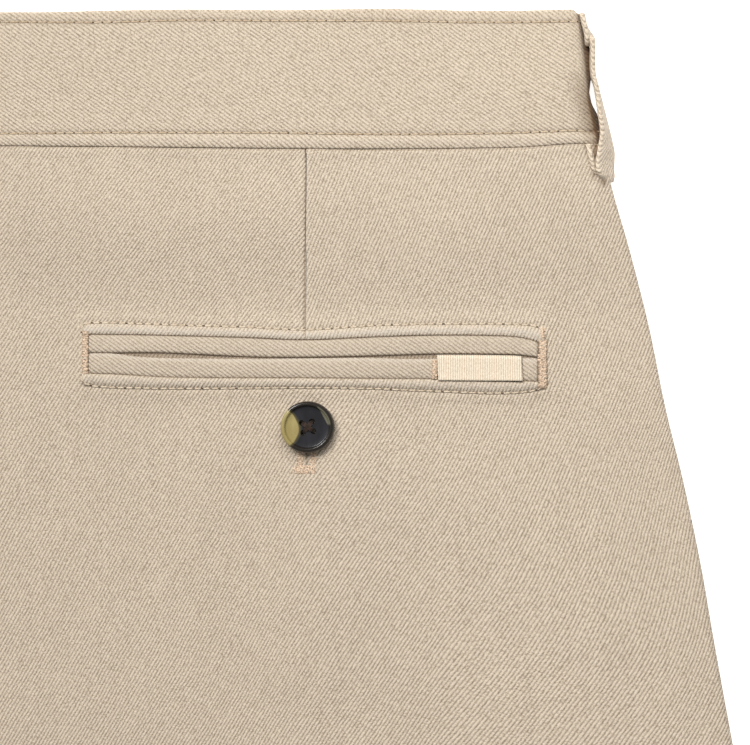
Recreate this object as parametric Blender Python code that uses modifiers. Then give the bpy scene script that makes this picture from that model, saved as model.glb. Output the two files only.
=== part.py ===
"""Chino shorts at real size, laid flat with the back up.

Frame: metres, +Z up, the cloth resting on Z = 0. +X is the wearer's right, +Y runs from the hems to the
waist. Places on the garment are in millimetres: x from the centre back seam, and down from the top edge
of the waistband. The waist seam is 38 mm down. The outer face of the back looks up, over the front.
"""
import math

import bmesh
import bpy

MM = 0.001

# Driving dimensions, in millimetres
SEAM_GAP = 0.3            # space between pieces that are sewn to each other
PANEL_WALL = 1.5          # twill with its seam allowances
BAND_WALL = 2.2           # folded twill with its stiffener
HEM_INNER = 492.0         # how far down the hems lie, at the inside leg and at the outseam
HEM_OUTER = 456.0
HEM_FAN_FROM = 200.0      # rows of the panels start to slant towards the hem here
CROTCH_FROM = 285.0       # the centre seam opens into the inside legs between these two
CROTCH_TO = 312.0
EDGE_HEIGHT = 4.0         # both layers together where they fold round at the outseam
BAND_HEIGHT = 5.6
EDGE_RADIUS = 1.9         # of that fold, in the plane
BAND_RADIUS = 2.4
EDGE_SPLIT = 0.36         # each layer ends this far from the middle of the fold
EDGE_STEPS = 4            # facets round the fold
EDGE_CROWDING = 1.6       # how much closer those facets are set near the seam
OUTER_EASE = 60.0         # the back swells over this distance from its outer and its inner edge
INNER_EASE = 45.0
FRONT_LIFT = 2.4          # the front waist lies on its belt loops and button
LIFT_FROM = 50.0
LIFT_TO = 86.0
POCKET_INNER = 71.8       # welts of the back pockets
POCKET_OUTER = 196.9
WELT_TOP = 90.5
WELT_SPLIT = 95.6
WELT_BOTTOM = 102.2
WELT_WALL = 1.0
WELT_CLEARANCE = 0.36
POCKET_RISE = 0.6         # the layers of the pocket lift the panel
RISE_FLANK = 9.0
TAB_INNER = 168.6         # woven tab on the right pocket
TAB_OUTER = 192.3
TAB_BOTTOM = 102.9
TAB_WALL = 1.0
POCKET_BUTTON_X = 132.7
POCKET_BUTTON_DOWN = 115.9
POCKET_BUTTON_RADIUS = 7.5
POCKET_BUTTON_HEIGHT = 2.9
WAIST_BUTTON_X = -14.0
WAIST_BUTTON_DOWN = 19.0
WAIST_BUTTON_RADIUS = 8.5
WAIST_BUTTON_HEIGHT = 2.1
LOOP_WIDTH = 10.0
LOOP_SIDE_WIDTH = 8.6
LOOP_WALL = 1.6
LOOP_TOP = 1.0
LOOP_BOTTOM = 47.0
LOOP_FRONT_X = 105.0
FLY_TOP = 42.0
FLY_WALL = 1.0
ZIP_FROM = -14.0          # across the front seam, from the tape's edge to where the shield takes over
ZIP_TO = 8.0
ZIP_BOTTOM = 190.0
SHIELD_TO = 34.0
SHIELD_BOTTOM = 198.0

# Columns of facets across the flat part of each piece
BACK_COLUMNS = 18
FRONT_COLUMNS = 5
BAND_BACK_COLUMNS = 20
BAND_FRONT_COLUMNS = 6
WELT_COLUMNS = 16
TAB_COLUMNS = 4
STRAP_COLUMNS = 2
FLY_ROWS = 12

# Rows of tables: how far down, then a length at that place
OUTER_EDGE = (            # down, half width of the outline
    (0.0, 207.6), (4.0, 208.9), (10.0, 209.6), (20.0, 210.8), (31.0, 213.2), (48.0, 217.0), (65.0, 222.0),
    (87.0, 227.7), (110.0, 232.4), (132.0, 237.7), (154.5, 242.4), (177.0, 246.3), (205.0, 251.4),
    (260.0, 261.6), (330.0, 274.6), (400.0, 287.6), (456.0, 298.0),
)
INNER_EDGE = (            # down, distance of the inside leg from the centre seam
    (38.0, 0.2), (285.0, 0.2), (300.0, 1.0), (312.0, 3.6), (330.0, 7.4), (380.0, 16.4), (440.0, 26.4),
    (492.0, 34.6),
)
LOFT = (                  # down, how much higher than its edges the back lies
    (0.0, 0.9), (38.0, 1.2), (100.0, 1.5), (160.0, 1.5), (260.0, 1.2), (360.0, 0.9), (492.0, 0.4),
)
BAND_SECTION = (          # down, height over the band's face: rounded top, flat face, ridge over the seam
    (0.0, -0.8), (0.7, -0.25), (1.9, 0.0), (18.0, 0.1), (33.6, 0.0), (34.8, 0.25), (36.2, 0.5), (37.3, 0.25),
    (37.75, -0.15),
)
FOLDS = (                 # soft ridges (+) and troughs (-): x, down, to x, to down, half width, height
    (136.0, 130.0, 133.0, 178.0, 17.0, 0.8),
    (52.0, 44.0, 51.0, 136.0, 6.0, 0.4),
    (74.0, 62.0, 121.0, 60.0, 12.0, 0.5),
    (158.0, 68.0, 212.0, 62.0, 13.0, 0.4),
    (150.0, 130.0, 184.0, 134.0, 13.0, 0.5),
    (70.0, 128.0, 112.0, 176.0, 20.0, -0.4),
    (196.0, 150.0, 226.0, 236.0, 16.0, 0.5),
    (36.0, 284.0, 120.0, 330.0, 16.0, 0.7),
    (44.0, 330.0, 170.0, 382.0, 18.0, -0.5),
    (190.0, 300.0, 262.0, 392.0, 20.0, 0.6),
    (120.0, 400.0, 150.0, 470.0, 20.0, 0.5),
    (-128.0, 132.0, -146.0, 190.0, 18.0, 0.7),
    (-70.0, 60.0, -118.0, 63.0, 13.0, 0.45),
    (-160.0, 66.0, -208.0, 60.0, 12.0, 0.4),
    (-192.0, 140.0, -232.0, 226.0, 15.0, 0.5),
    (-70.0, 150.0, -106.0, 214.0, 19.0, -0.4),
    (-34.0, 290.0, -134.0, 322.0, 17.0, 0.7),
    (-52.0, 340.0, -180.0, 372.0, 18.0, -0.45),
    (-208.0, 290.0, -256.0, 372.0, 18.0, 0.6),
    (-140.0, 392.0, -124.0, 466.0, 22.0, 0.5),
)
BACK_ROWS = (             # from, to, number of rows between
    (38.3, 80.0, 5), (80.0, 110.0, 6), (110.0, 200.0, 7), (200.0, 492.0, 12),
)
FRONT_ROWS = ((38.3, 50.0, 1), (50.0, 86.0, 4), (86.0, 285.0, 5), (285.0, 312.0, 2), (312.0, 492.0, 5))
SIDE_LOOP = (             # down, x of the strap's middle, its height, and its turn from lying flat
    (0.8, 209.8, 4.9, 88.0), (4.0, 211.0, 4.9, 88.0), (7.7, 211.9, 4.9, 87.0), (12.0, 212.0, 4.9, 86.0),
    (19.0, 212.4, 4.9, 84.0), (24.0, 213.4, 5.0, 82.0), (29.0, 214.6, 5.1, 79.0), (35.0, 216.0, 5.2, 75.0),
    (41.0, 217.4, 5.3, 70.0), (45.0, 218.0, 5.3, 66.0), (47.5, 218.0, 5.3, 64.0),
)
BACK_LOOP = (             # down, height of the strap's outer face
    (1.0, 10.0), (8.0, 10.3), (20.0, 10.8), (34.0, 10.9), (40.0, 10.5), (47.0, 9.6),
)
BUTTON_SECTION = (        # share of the radius, share of the height, from the face's middle round the rim
    (0.0, 0.62), (0.55, 0.62), (0.68, 0.78), (0.80, 1.0), (0.92, 0.97), (1.0, 0.70), (0.97, 0.30),
    (0.80, 0.0), (0.0, 0.0),
)
BUTTON_FACETS = 24
BUTTON_HOLE_RADIUS = 1.0
BUTTON_HOLE_SPREAD = 2.2

# Colours and finishes
TWILL_COLOUR = (0.66, 0.55, 0.42, 1.0)
LOOP_COLOUR = (0.63, 0.52, 0.40, 1.0)
TAB_COLOUR = (0.90, 0.76, 0.56, 1.0)
BUTTON_COLOUR = (0.06, 0.055, 0.05, 1.0)
ZIP_COLOUR = (0.45, 0.36, 0.26, 1.0)
CLOTH_ROUGHNESS = 0.9
BUTTON_ROUGHNESS = 0.3


def smooth(value, low, high):
    """Ease from 0 at low to 1 at high."""
    share = min(max((value - low) / (high - low), 0.0), 1.0)
    return share * share * (3.0 - 2.0 * share)


def mix(first, second, share):
    return first + (second - first) * share


def along(table, down, column=1):
    """Read one column of a table at a place, on a smooth curve through its rows."""
    if down <= table[0][0]:
        return table[0][column]
    if down >= table[-1][0]:
        return table[-1][column]
    row = 0
    while table[row + 1][0] < down:
        row += 1
    before = table[max(row - 1, 0)]
    start = table[row]
    end = table[row + 1]
    after = table[min(row + 2, len(table) - 1)]
    span = end[0] - start[0]
    share = (down - start[0]) / span
    slope_in = (end[column] - before[column]) / (end[0] - before[0]) * span
    slope_out = (after[column] - start[column]) / (after[0] - start[0]) * span
    square = share * share
    cube = square * share
    return (
        (2.0 * cube - 3.0 * square + 1.0) * start[column]
        + (cube - 2.0 * square + share) * slope_in
        + (3.0 * square - 2.0 * cube) * end[column]
        + (cube - square) * slope_out
    )


def place(x, down, height):
    """Turn a place on the garment into metres, with the middle of its length at Y = 0."""
    return (x * MM, (HEM_INNER / 2.0 - down) * MM, height * MM)


def fold_height(x, down):
    """Add up the soft ridges and troughs at a place."""
    total = 0.0
    for x1, down1, x2, down2, half_width, height in FOLDS:
        run_x = x2 - x1
        run_down = down2 - down1
        share = ((x - x1) * run_x + (down - down1) * run_down) / (run_x ** 2 + run_down ** 2)
        share = min(max(share, 0.0), 1.0)
        away = math.hypot(x - x1 - run_x * share, down - down1 - run_down * share)
        total += height * math.exp(-((away / half_width) ** 2))
    return total


def lift(down):
    """Height of the front's outer face over the ground."""
    return FRONT_LIFT * (1.0 - smooth(down, LIFT_FROM, LIFT_TO))


def pocket_rise(x, down):
    """Extra height where the layers of a back pocket lie."""
    across = abs(x)
    rise = smooth(across, POCKET_INNER - RISE_FLANK, POCKET_INNER)
    rise *= 1.0 - smooth(across, POCKET_OUTER, POCKET_OUTER + RISE_FLANK)
    rise *= smooth(down, WELT_TOP - RISE_FLANK, WELT_TOP)
    rise *= 1.0 - smooth(down, WELT_BOTTOM, WELT_BOTTOM + RISE_FLANK)
    return POCKET_RISE * rise


def leg_share(down):
    """0 on the seat, where the backs meet at the centre seam, and 1 on the legs."""
    return smooth(down, CROTCH_FROM, CROTCH_TO)


def back_top(x, down):
    """Height of the back's outer face."""
    from_outer = smooth(along(OUTER_EDGE, down) - abs(x), 0.0, OUTER_EASE)
    from_inner = smooth(abs(x) - along(INNER_EDGE, down), 0.0, INNER_EASE)
    room = from_outer * (1.0 - leg_share(down) * (1.0 - from_inner))
    flat = EDGE_HEIGHT + lift(down) + along(LOFT, down) * room
    return flat + pocket_rise(x, down) + fold_height(x, down) * room


def row_places(spans):
    """List how far down each row of points lies."""
    downs = [spans[0][0]]
    for start, end, count in spans:
        downs += [mix(start, end, step / count) for step in range(1, count + 1)]
    return downs


def edge_turn(step):
    """Angle of the cloth round its folded edge, closer set near the seam so that its end is upright."""
    return math.radians(90.0) * (1.0 - (1.0 - step / EDGE_STEPS) ** EDGE_CROWDING)


def across_steps(step, columns):
    """Split a column into its share across the flat cloth and the turns at the inner and outer folds."""
    flat = columns - 2 * EDGE_STEPS
    if step < EDGE_STEPS:
        return 0.0, edge_turn(EDGE_STEPS - step), 0.0
    if step > EDGE_STEPS + flat:
        return 1.0, 0.0, edge_turn(step - EDGE_STEPS - flat)
    return (step - EDGE_STEPS) / flat, 0.0, 0.0


def panel_point(side, is_back, columns):
    """Return the function that places column and row of a back or front panel."""
    def point(step, down):
        share, inner_turn, outer_turn = across_steps(step, columns)
        fan = max(0.0, down - HEM_FAN_FROM) / (HEM_INNER - HEM_FAN_FROM)
        down -= (HEM_INNER - mix(HEM_INNER, HEM_OUTER, share)) * fan
        inner = along(INNER_EDGE, down)
        outer = along(OUTER_EDGE, down)
        x = mix(inner + EDGE_RADIUS, outer - EDGE_RADIUS, share)
        height = back_top(side * x, down)
        half = (height - lift(down)) / 2.0 - EDGE_SPLIT
        leg = leg_share(down)
        drop = half * (1.0 - math.cos(outer_turn)) + half * (1.0 - math.cos(inner_turn)) * leg
        curled = math.sin(inner_turn)
        flat = inner_turn / math.radians(90.0)
        x += EDGE_RADIUS * (math.sin(outer_turn) - mix(flat, curled, leg))
        if not is_back:
            return place(side * x, down, lift(down) + drop)
        return place(side * x, down, height - drop)
    return point


def band_back_point(columns):
    """Return the function that places column and row of the back stretch, folded at both sides."""
    half = BAND_HEIGHT / 2.0 - EDGE_SPLIT

    def point(step, down):
        share, left_turn, right_turn = across_steps(step, columns)
        reach = along(OUTER_EDGE, down) - BAND_RADIUS
        x = mix(-reach, reach, share) + BAND_RADIUS * (math.sin(right_turn) - math.sin(left_turn))
        drop = half * (2.0 - math.cos(left_turn) - math.cos(right_turn))
        relief = along(BAND_SECTION, down) * (1.0 - drop / half)
        return place(x, down, FRONT_LIFT + BAND_HEIGHT - drop + relief)
    return point


def band_front_point(side, columns):
    """Return the function that places column and row of a front stretch, from the fly to its side."""
    half = BAND_HEIGHT / 2.0 - EDGE_SPLIT

    def point(step, down):
        share, fly_turn, side_turn = across_steps(step, columns)
        start = SEAM_GAP / 2.0 + BAND_RADIUS
        x = mix(start, along(OUTER_EDGE, down) - BAND_RADIUS, share)
        x += BAND_RADIUS * (math.sin(side_turn) - fly_turn / math.radians(90.0))
        drop = half * (1.0 - math.cos(side_turn))
        rounding = min(along(BAND_SECTION, down), 0.0) * (1.0 - drop / half)
        return place(side * x, down, FRONT_LIFT + drop - rounding)
    return point


def new_object(name, mesh, material, collection):
    built = bpy.data.objects.new(name, mesh)
    built.data.materials.append(material)
    collection.objects.link(built)
    return built


def cloth(name, columns, downs, point, wall, turned, material, collection, offset=-1.0):
    """Shape a grid of cloth by its point function and give it its wall, inwards from the outer face."""
    rows = len(downs) - 1
    shape = bmesh.new()
    bmesh.ops.create_grid(shape, x_segments=columns, y_segments=rows, size=0.5)
    for vert in shape.verts:
        step = round((vert.co.x + 0.5) * columns)
        row = round((0.5 - vert.co.y) * rows)
        vert.co = point(step, downs[row])
    if turned:
        bmesh.ops.reverse_faces(shape, faces=shape.faces)
    mesh = bpy.data.meshes.new(name)
    shape.to_mesh(mesh)
    shape.free()
    mesh.shade_smooth()
    built = new_object(name, mesh, material, collection)
    solid = built.modifiers.new("wall", "SOLIDIFY")
    solid.thickness = wall * MM
    solid.offset = offset
    return built


def cloth_material(name, colour, roughness):
    material = bpy.data.materials.new(name)
    material.use_nodes = True
    shader = material.node_tree.nodes["Principled BSDF"]
    shader.inputs["Base Color"].default_value = colour
    shader.inputs["Roughness"].default_value = roughness
    shader.inputs["Metallic"].default_value = 0.0
    return material


def panels(twill, collection):
    """Two backs over two fronts, folded round at the outseams and inside legs."""
    back_columns = 2 * EDGE_STEPS + BACK_COLUMNS
    front_columns = 2 * EDGE_STEPS + FRONT_COLUMNS
    for side, word in ((1, "right"), (-1, "left")):
        cloth(
            f"back_{word}", back_columns, row_places(BACK_ROWS), panel_point(side, True, back_columns),
            PANEL_WALL, side < 0, twill, collection,
        )
        cloth(
            f"front_{word}", front_columns, row_places(FRONT_ROWS), panel_point(side, False, front_columns),
            PANEL_WALL, side > 0, twill, collection,
        )


def waistband(twill, collection):
    """The back stretch runs from side to side, and the two front stretches meet at the fly."""
    downs = [row[0] for row in BAND_SECTION]
    columns = 2 * EDGE_STEPS + BAND_BACK_COLUMNS
    cloth("waistband_back", columns, downs, band_back_point(columns), BAND_WALL, False, twill, collection)
    columns = 2 * EDGE_STEPS + BAND_FRONT_COLUMNS
    for side, word in ((1, "right"), (-1, "left")):
        cloth(
            f"waistband_front_{word}", columns, downs, band_front_point(side, columns),
            BAND_WALL, side > 0, twill, collection,
        )


def on_back(name, x_from, x_to, down_from, down_to, columns, rows, clearance, wall, material, collection):
    """A strip that lies on the back's outer face, made from that face's points, moved out."""
    def point(step, down):
        x = mix(x_from, x_to, step / columns)
        return place(x, down, back_top(x, down) + clearance + wall)
    downs = [mix(down_from, down_to, row / rows) for row in range(rows + 1)]
    return cloth(name, columns, downs, point, wall, x_to < x_from, material, collection)


def pockets(twill, tab, collection):
    """Double-welt back pockets, and the woven tab that the right one holds."""
    for side, word in ((1, "right"), (-1, "left")):
        for level, top, bottom in (
            ("upper", WELT_TOP, WELT_SPLIT - SEAM_GAP / 2.0),
            ("lower", WELT_SPLIT + SEAM_GAP / 2.0, WELT_BOTTOM),
        ):
            on_back(
                f"pocket_welt_{level}_{word}", side * POCKET_INNER, side * POCKET_OUTER, top, bottom,
                WELT_COLUMNS, 1, WELT_CLEARANCE, WELT_WALL, twill, collection,
            )
    on_back(
        "pocket_tab", TAB_INNER, TAB_OUTER, WELT_SPLIT + SEAM_GAP, TAB_BOTTOM,
        TAB_COLUMNS, 2, WELT_CLEARANCE + WELT_WALL + SEAM_GAP, TAB_WALL, tab, collection,
    )


def button(name, radius, height, material, collection, cutters):
    """A turned four-hole button with a raised rim, its foot at the object's origin."""
    profile = bmesh.new()
    verts = [profile.verts.new((radius * r * MM, 0.0, height * z * MM)) for r, z in BUTTON_SECTION]
    for first, second in zip(verts, verts[1:]):
        profile.edges.new((first, second))
    mesh = bpy.data.meshes.new(name)
    profile.to_mesh(mesh)
    profile.free()
    built = new_object(name, mesh, material, collection)
    turn = built.modifiers.new("turned", "SCREW")
    turn.steps = BUTTON_FACETS
    turn.render_steps = BUTTON_FACETS
    turn.use_merge_vertices = True
    turn.merge_threshold = 0.00001
    turn.use_smooth_shade = True
    holes = bmesh.new()
    for across in (-1, 1):
        for up in (-1, 1):
            made = bmesh.ops.create_cone(
                holes, cap_ends=True, segments=8, radius1=BUTTON_HOLE_RADIUS * MM,
                radius2=BUTTON_HOLE_RADIUS * MM, depth=3.0 * height * MM,
            )
            spread = BUTTON_HOLE_SPREAD * MM
            bmesh.ops.translate(holes, verts=made["verts"], vec=(across * spread, up * spread, 0.0))
    cutter_mesh = bpy.data.meshes.new(f"{name}_holes")
    holes.to_mesh(cutter_mesh)
    holes.free()
    cutter = new_object(f"{name}_holes", cutter_mesh, material, cutters)
    cutter.hide_render = True
    cutter.display_type = "WIRE"
    cutter.parent = built
    cut = built.modifiers.new("holes", "BOOLEAN")
    cut.operation = "DIFFERENCE"
    cut.solver = "EXACT"
    cut.object = cutter
    return built


def highest_under(x, down, radius):
    """Highest place of the back's outer face under a round foot."""
    spots = [back_top(x, down)]
    for step in range(16):
        angle = math.radians(360.0 * step / 16)
        spots.append(back_top(x + radius * math.cos(angle), down + radius * math.sin(angle)))
    return max(spots)


def buttons(horn, collection, cutters):
    """One button below each back pocket, and one under the front end of the waistband, face down."""
    for side, word in ((1, "right"), (-1, "left")):
        x = side * POCKET_BUTTON_X
        foot = highest_under(x, POCKET_BUTTON_DOWN, POCKET_BUTTON_RADIUS) + SEAM_GAP
        built = button(
            f"pocket_button_{word}", POCKET_BUTTON_RADIUS, POCKET_BUTTON_HEIGHT, horn, collection, cutters,
        )
        built.location = place(x, POCKET_BUTTON_DOWN, foot)
    built = button("waist_button", WAIST_BUTTON_RADIUS, WAIST_BUTTON_HEIGHT, horn, collection, cutters)
    built.location = place(WAIST_BUTTON_X, WAIST_BUTTON_DOWN, WAIST_BUTTON_HEIGHT)
    built.rotation_euler = (math.radians(180.0), 0.0, 0.0)


def belt_loops(twill, collection):
    """Straps over the waistband: centre back, both sides on edge, and two under the front."""
    def back_point(step, down):
        return place(LOOP_WIDTH * (step / STRAP_COLUMNS - 0.5), down, along(BACK_LOOP, down))
    downs = [row[0] for row in BACK_LOOP]
    cloth("belt_loop_back", STRAP_COLUMNS, downs, back_point, LOOP_WALL, False, twill, collection)
    side_downs = [row[0] for row in SIDE_LOOP]
    for side, word in ((1, "right"), (-1, "left")):
        def side_point(step, down, side=side):
            reach = LOOP_SIDE_WIDTH * (step / STRAP_COLUMNS - 0.5)
            turn = math.radians(along(SIDE_LOOP, down, 3))
            x = along(SIDE_LOOP, down, 1) - reach * math.cos(turn)
            return place(side * x, down, along(SIDE_LOOP, down, 2) + reach * math.sin(turn))
        cloth(
            f"belt_loop_side_{word}", STRAP_COLUMNS, side_downs, side_point, LOOP_WALL, side > 0,
            twill, collection, 0.0,
        )

        def front_point(step, down, side=side):
            x = side * LOOP_FRONT_X + LOOP_WIDTH * (step / STRAP_COLUMNS - 0.5)
            return place(x, down, FRONT_LIFT - SEAM_GAP)
        front_downs = [mix(LOOP_TOP, LOOP_BOTTOM, row / 4.0) for row in range(5)]
        cloth(
            f"belt_loop_front_{word}", STRAP_COLUMNS, front_downs, front_point, LOOP_WALL, False,
            twill, collection,
        )


def fly(twill, zip_cloth, collection):
    """The closed zip and the shield that its tape is sewn to, inside the front along the centre seam."""
    for name, x_from, x_to, bottom, material in (
        ("fly_zip", ZIP_FROM, ZIP_TO, ZIP_BOTTOM, zip_cloth),
        ("fly_shield", ZIP_TO + SEAM_GAP, SHIELD_TO, SHIELD_BOTTOM, twill),
    ):
        def point(step, down, x_from=x_from, x_to=x_to):
            foot = lift(down) + PANEL_WALL + SEAM_GAP
            return place(mix(x_from, x_to, step / STRAP_COLUMNS), down, foot + FLY_WALL)
        downs = [mix(FLY_TOP, bottom, row / FLY_ROWS) for row in range(FLY_ROWS + 1)]
        cloth(name, STRAP_COLUMNS, downs, point, FLY_WALL, False, material, collection)


def main():
    for old in list(bpy.data.objects):
        bpy.data.objects.remove(old)
    garment = bpy.data.collections.new("chino_shorts")
    cutters = bpy.data.collections.new("cutters")
    bpy.context.scene.collection.children.link(garment)
    bpy.context.scene.collection.children.link(cutters)
    twill = cloth_material("twill", TWILL_COLOUR, CLOTH_ROUGHNESS)
    loop_twill = cloth_material("loop_twill", LOOP_COLOUR, CLOTH_ROUGHNESS)
    tab = cloth_material("woven_tab", TAB_COLOUR, CLOTH_ROUGHNESS)
    horn = cloth_material("button_horn", BUTTON_COLOUR, BUTTON_ROUGHNESS)
    zip_cloth = cloth_material("zip_tape", ZIP_COLOUR, CLOTH_ROUGHNESS)
    panels(twill, garment)
    waistband(twill, garment)
    pockets(twill, tab, garment)
    belt_loops(loop_twill, garment)
    fly(twill, zip_cloth, garment)
    buttons(horn, garment, cutters)


main()
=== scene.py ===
"""Looks of the chino shorts: twill cloth, welt pockets, belt loops, horn buttons and sewing.

Places on the garment are in millimetres, as (x, down, height): x from the centre back seam towards the
wearer's right, down from the top edge of the waistband, and height over the ground.
"""
import math
import random

import bmesh
import bpy
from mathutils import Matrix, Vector, noise


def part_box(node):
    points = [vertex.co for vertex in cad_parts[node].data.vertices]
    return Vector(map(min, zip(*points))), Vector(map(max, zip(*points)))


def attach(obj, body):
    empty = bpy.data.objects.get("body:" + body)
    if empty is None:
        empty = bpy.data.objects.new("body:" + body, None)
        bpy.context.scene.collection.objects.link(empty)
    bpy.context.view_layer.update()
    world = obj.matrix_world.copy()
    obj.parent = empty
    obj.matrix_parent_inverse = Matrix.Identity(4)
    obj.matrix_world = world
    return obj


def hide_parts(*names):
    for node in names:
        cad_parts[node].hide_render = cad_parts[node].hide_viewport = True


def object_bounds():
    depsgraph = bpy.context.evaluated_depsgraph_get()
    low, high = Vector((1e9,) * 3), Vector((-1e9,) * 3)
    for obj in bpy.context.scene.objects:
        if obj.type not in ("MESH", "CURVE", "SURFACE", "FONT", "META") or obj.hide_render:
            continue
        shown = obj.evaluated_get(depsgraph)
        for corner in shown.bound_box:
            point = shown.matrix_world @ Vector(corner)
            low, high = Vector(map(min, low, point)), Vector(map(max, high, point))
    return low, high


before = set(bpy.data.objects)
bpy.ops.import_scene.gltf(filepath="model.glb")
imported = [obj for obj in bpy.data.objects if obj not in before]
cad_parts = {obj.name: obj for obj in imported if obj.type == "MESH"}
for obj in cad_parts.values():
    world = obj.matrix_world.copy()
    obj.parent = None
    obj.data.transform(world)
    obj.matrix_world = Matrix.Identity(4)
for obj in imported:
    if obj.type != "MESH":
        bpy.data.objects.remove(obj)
CAD_LOW, CAD_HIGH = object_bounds()

bl_info = {
    "name": "Chino Shorts",
    "version": (1, 0, 0),
    "blender": (4, 5, 0),
    "location": "View3D > Sidebar > Shorts",
    "description": "Twill chino shorts laid flat with welt pockets, belt loops and top stitching",
    "category": "Add Mesh",
}

MM = 0.001
BODY = "root"
GRAIN = "grain"
LAID = "laid"
# Attribute that carries each piece's painted shade, painted highlight and rubbed wear into its colour
PAINTED_LIGHT_AND_WEAR = "painted_light_and_wear"
MERGE = 0.000001

# The solid's driving sizes, in millimetres
HEM_INNER = (CAD_HIGH.y - CAD_LOW.y) / MM
HEM_SLANT = 36.0          # the legs are shorter at the outer seam
HEM_FAN_FROM = 200.0
CROTCH_FROM = 285.0
CROTCH_TO = 312.0
EDGE_HEIGHT = 4.0
BAND_HEIGHT = 5.6
EDGE_RADIUS = 1.9
BAND_RADIUS = 2.4
EDGE_SPLIT = 0.36
EDGE_CROWDING = 1.6
OUTER_EASE = 60.0
INNER_EASE = 45.0
FRONT_LIFT = 2.4
LIFT_FROM = 50.0
LIFT_TO = 86.0
POCKET_INNER = 71.8
POCKET_OUTER = 196.9
WELT_TOP = 90.5
WELT_BOTTOM = 102.2
POCKET_RISE = 0.6
RISE_FLANK = 9.0
OUTER_EDGE = (            # down, half width of the outline
    (0.0, 207.6), (4.0, 208.9), (10.0, 209.6), (20.0, 210.8), (31.0, 213.2), (48.0, 217.0), (65.0, 222.0),
    (87.0, 227.7), (110.0, 232.4), (132.0, 237.7), (154.5, 242.4), (177.0, 246.3), (205.0, 251.4),
    (260.0, 261.6), (330.0, 274.6), (400.0, 287.6), (456.0, 298.0),
)
INNER_EDGE = (            # down, distance of the inside leg from the centre seam
    (38.0, 0.2), (285.0, 0.2), (300.0, 1.0), (312.0, 3.6), (330.0, 7.4), (380.0, 16.4), (440.0, 26.4),
    (492.0, 34.6),
)
LOFT = (                  # down, how much higher than its edges the back lies
    (0.0, 0.9), (38.0, 1.2), (100.0, 1.5), (160.0, 1.5), (260.0, 1.2), (360.0, 0.9), (492.0, 0.4),
)
FOLDS = (                 # soft ridges (+) and troughs (-): x, down, to x, to down, half width, height
    (136.0, 130.0, 133.0, 178.0, 17.0, 0.8),
    (52.0, 44.0, 51.0, 136.0, 6.0, 0.4),
    (74.0, 62.0, 121.0, 60.0, 12.0, 0.5),
    (158.0, 68.0, 212.0, 62.0, 13.0, 0.4),
    (150.0, 130.0, 184.0, 134.0, 13.0, 0.5),
    (70.0, 128.0, 112.0, 176.0, 20.0, -0.4),
    (196.0, 150.0, 226.0, 236.0, 16.0, 0.5),
    (36.0, 284.0, 120.0, 330.0, 16.0, 0.7),
    (44.0, 330.0, 170.0, 382.0, 18.0, -0.5),
    (190.0, 300.0, 262.0, 392.0, 20.0, 0.6),
    (120.0, 400.0, 150.0, 470.0, 20.0, 0.5),
    (-128.0, 132.0, -146.0, 190.0, 18.0, 0.7),
    (-70.0, 60.0, -118.0, 63.0, 13.0, 0.45),
    (-160.0, 66.0, -208.0, 60.0, 12.0, 0.4),
    (-192.0, 140.0, -232.0, 226.0, 15.0, 0.5),
    (-70.0, 150.0, -106.0, 214.0, 19.0, -0.4),
    (-34.0, 290.0, -134.0, 322.0, 17.0, 0.7),
    (-52.0, 340.0, -180.0, 372.0, 18.0, -0.45),
    (-208.0, 290.0, -256.0, 372.0, 18.0, 0.6),
    (-140.0, 392.0, -124.0, 466.0, 22.0, 0.5),
)

# What the cloth and its sewing add to the solids
BAND_SECTION = (          # down, height over the band's face
    (1.0, -0.08), (2.3, 0.02), (2.9, -0.14), (3.5, 0.03), (18.0, 0.1), (33.4, 0.02), (34.1, -0.20),
    (34.8, 0.10), (36.0, 0.32), (36.9, 0.22), (37.55, 0.04), (37.85, -0.18), (37.95, -0.45),
)
BAND_THICKNESS = 2.0
TOP_ROW = 2.9
FOOT_ROW = 34.1
WAIST_SEAM = 38.1
BAND_LINES = (            # x, then down: band's top edge, its two rows of stitching, and the waist seam
    (0.0, 0.1, 3.0, 34.0, 38.1),
    (50.0, 0.1, 3.05, 34.1, 37.75),
    (62.0, 0.05, 3.1, 34.0, 37.85),
    (77.0, -0.34, 3.1, 33.85, 37.98),
    (97.0, -0.65, 2.6, 33.85, 38.2),
    (125.0, -0.5, 2.7, 33.95, 38.5),
    (140.0, -0.72, 2.7, 34.2, 38.58),
    (153.0, -0.82, 2.72, 34.3, 38.6),
    (167.0, -0.6, 2.95, 34.3, 38.55),
    (175.0, -0.35, 3.1, 34.2, 38.47),
    (192.0, -0.35, 3.1, 33.85, 38.15),
    (207.0, -0.72, 2.85, 33.3, 37.1),
    (214.0, -0.6, 2.8, 33.6, 37.4),
)
PANEL_START = 37.3
PANEL_WALL = 1.1
EDGE_OVER = 0.25
POCKET_LINES = (          # x, then down: stitching, edge, slit above, slit below, edge, stitching
    (69.6, 86.9, 90.1, 95.3, 95.3, 100.9, 104.3),
    (78.0, 86.9, 90.2, 95.3, 95.35, 101.1, 104.9),
    (84.8, 87.1, 90.3, 95.2, 96.25, 101.5, 105.05),
    (93.3, 87.4, 90.5, 95.3, 96.65, 102.0, 105.2),
    (116.8, 88.1, 91.1, 96.4, 96.85, 102.2, 105.1),
    (131.6, 88.8, 91.7, 96.5, 96.75, 102.2, 105.0),
    (151.4, 87.6, 90.9, 96.1, 96.6, 102.4, 105.25),
    (159.0, 87.4, 90.6, 95.85, 96.9, 102.4, 105.6),
    (168.2, 87.2, 90.4, 95.6, 96.85, 102.5, 105.95),
    (183.5, 87.2, 90.5, 95.65, 96.7, 102.8, 106.5),
    (191.9, 87.3, 91.0, 95.9, 96.6, 103.0, 106.3),
    (197.5, 87.9, 92.4, 96.6, 96.75, 103.3, 105.5),
)
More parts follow.
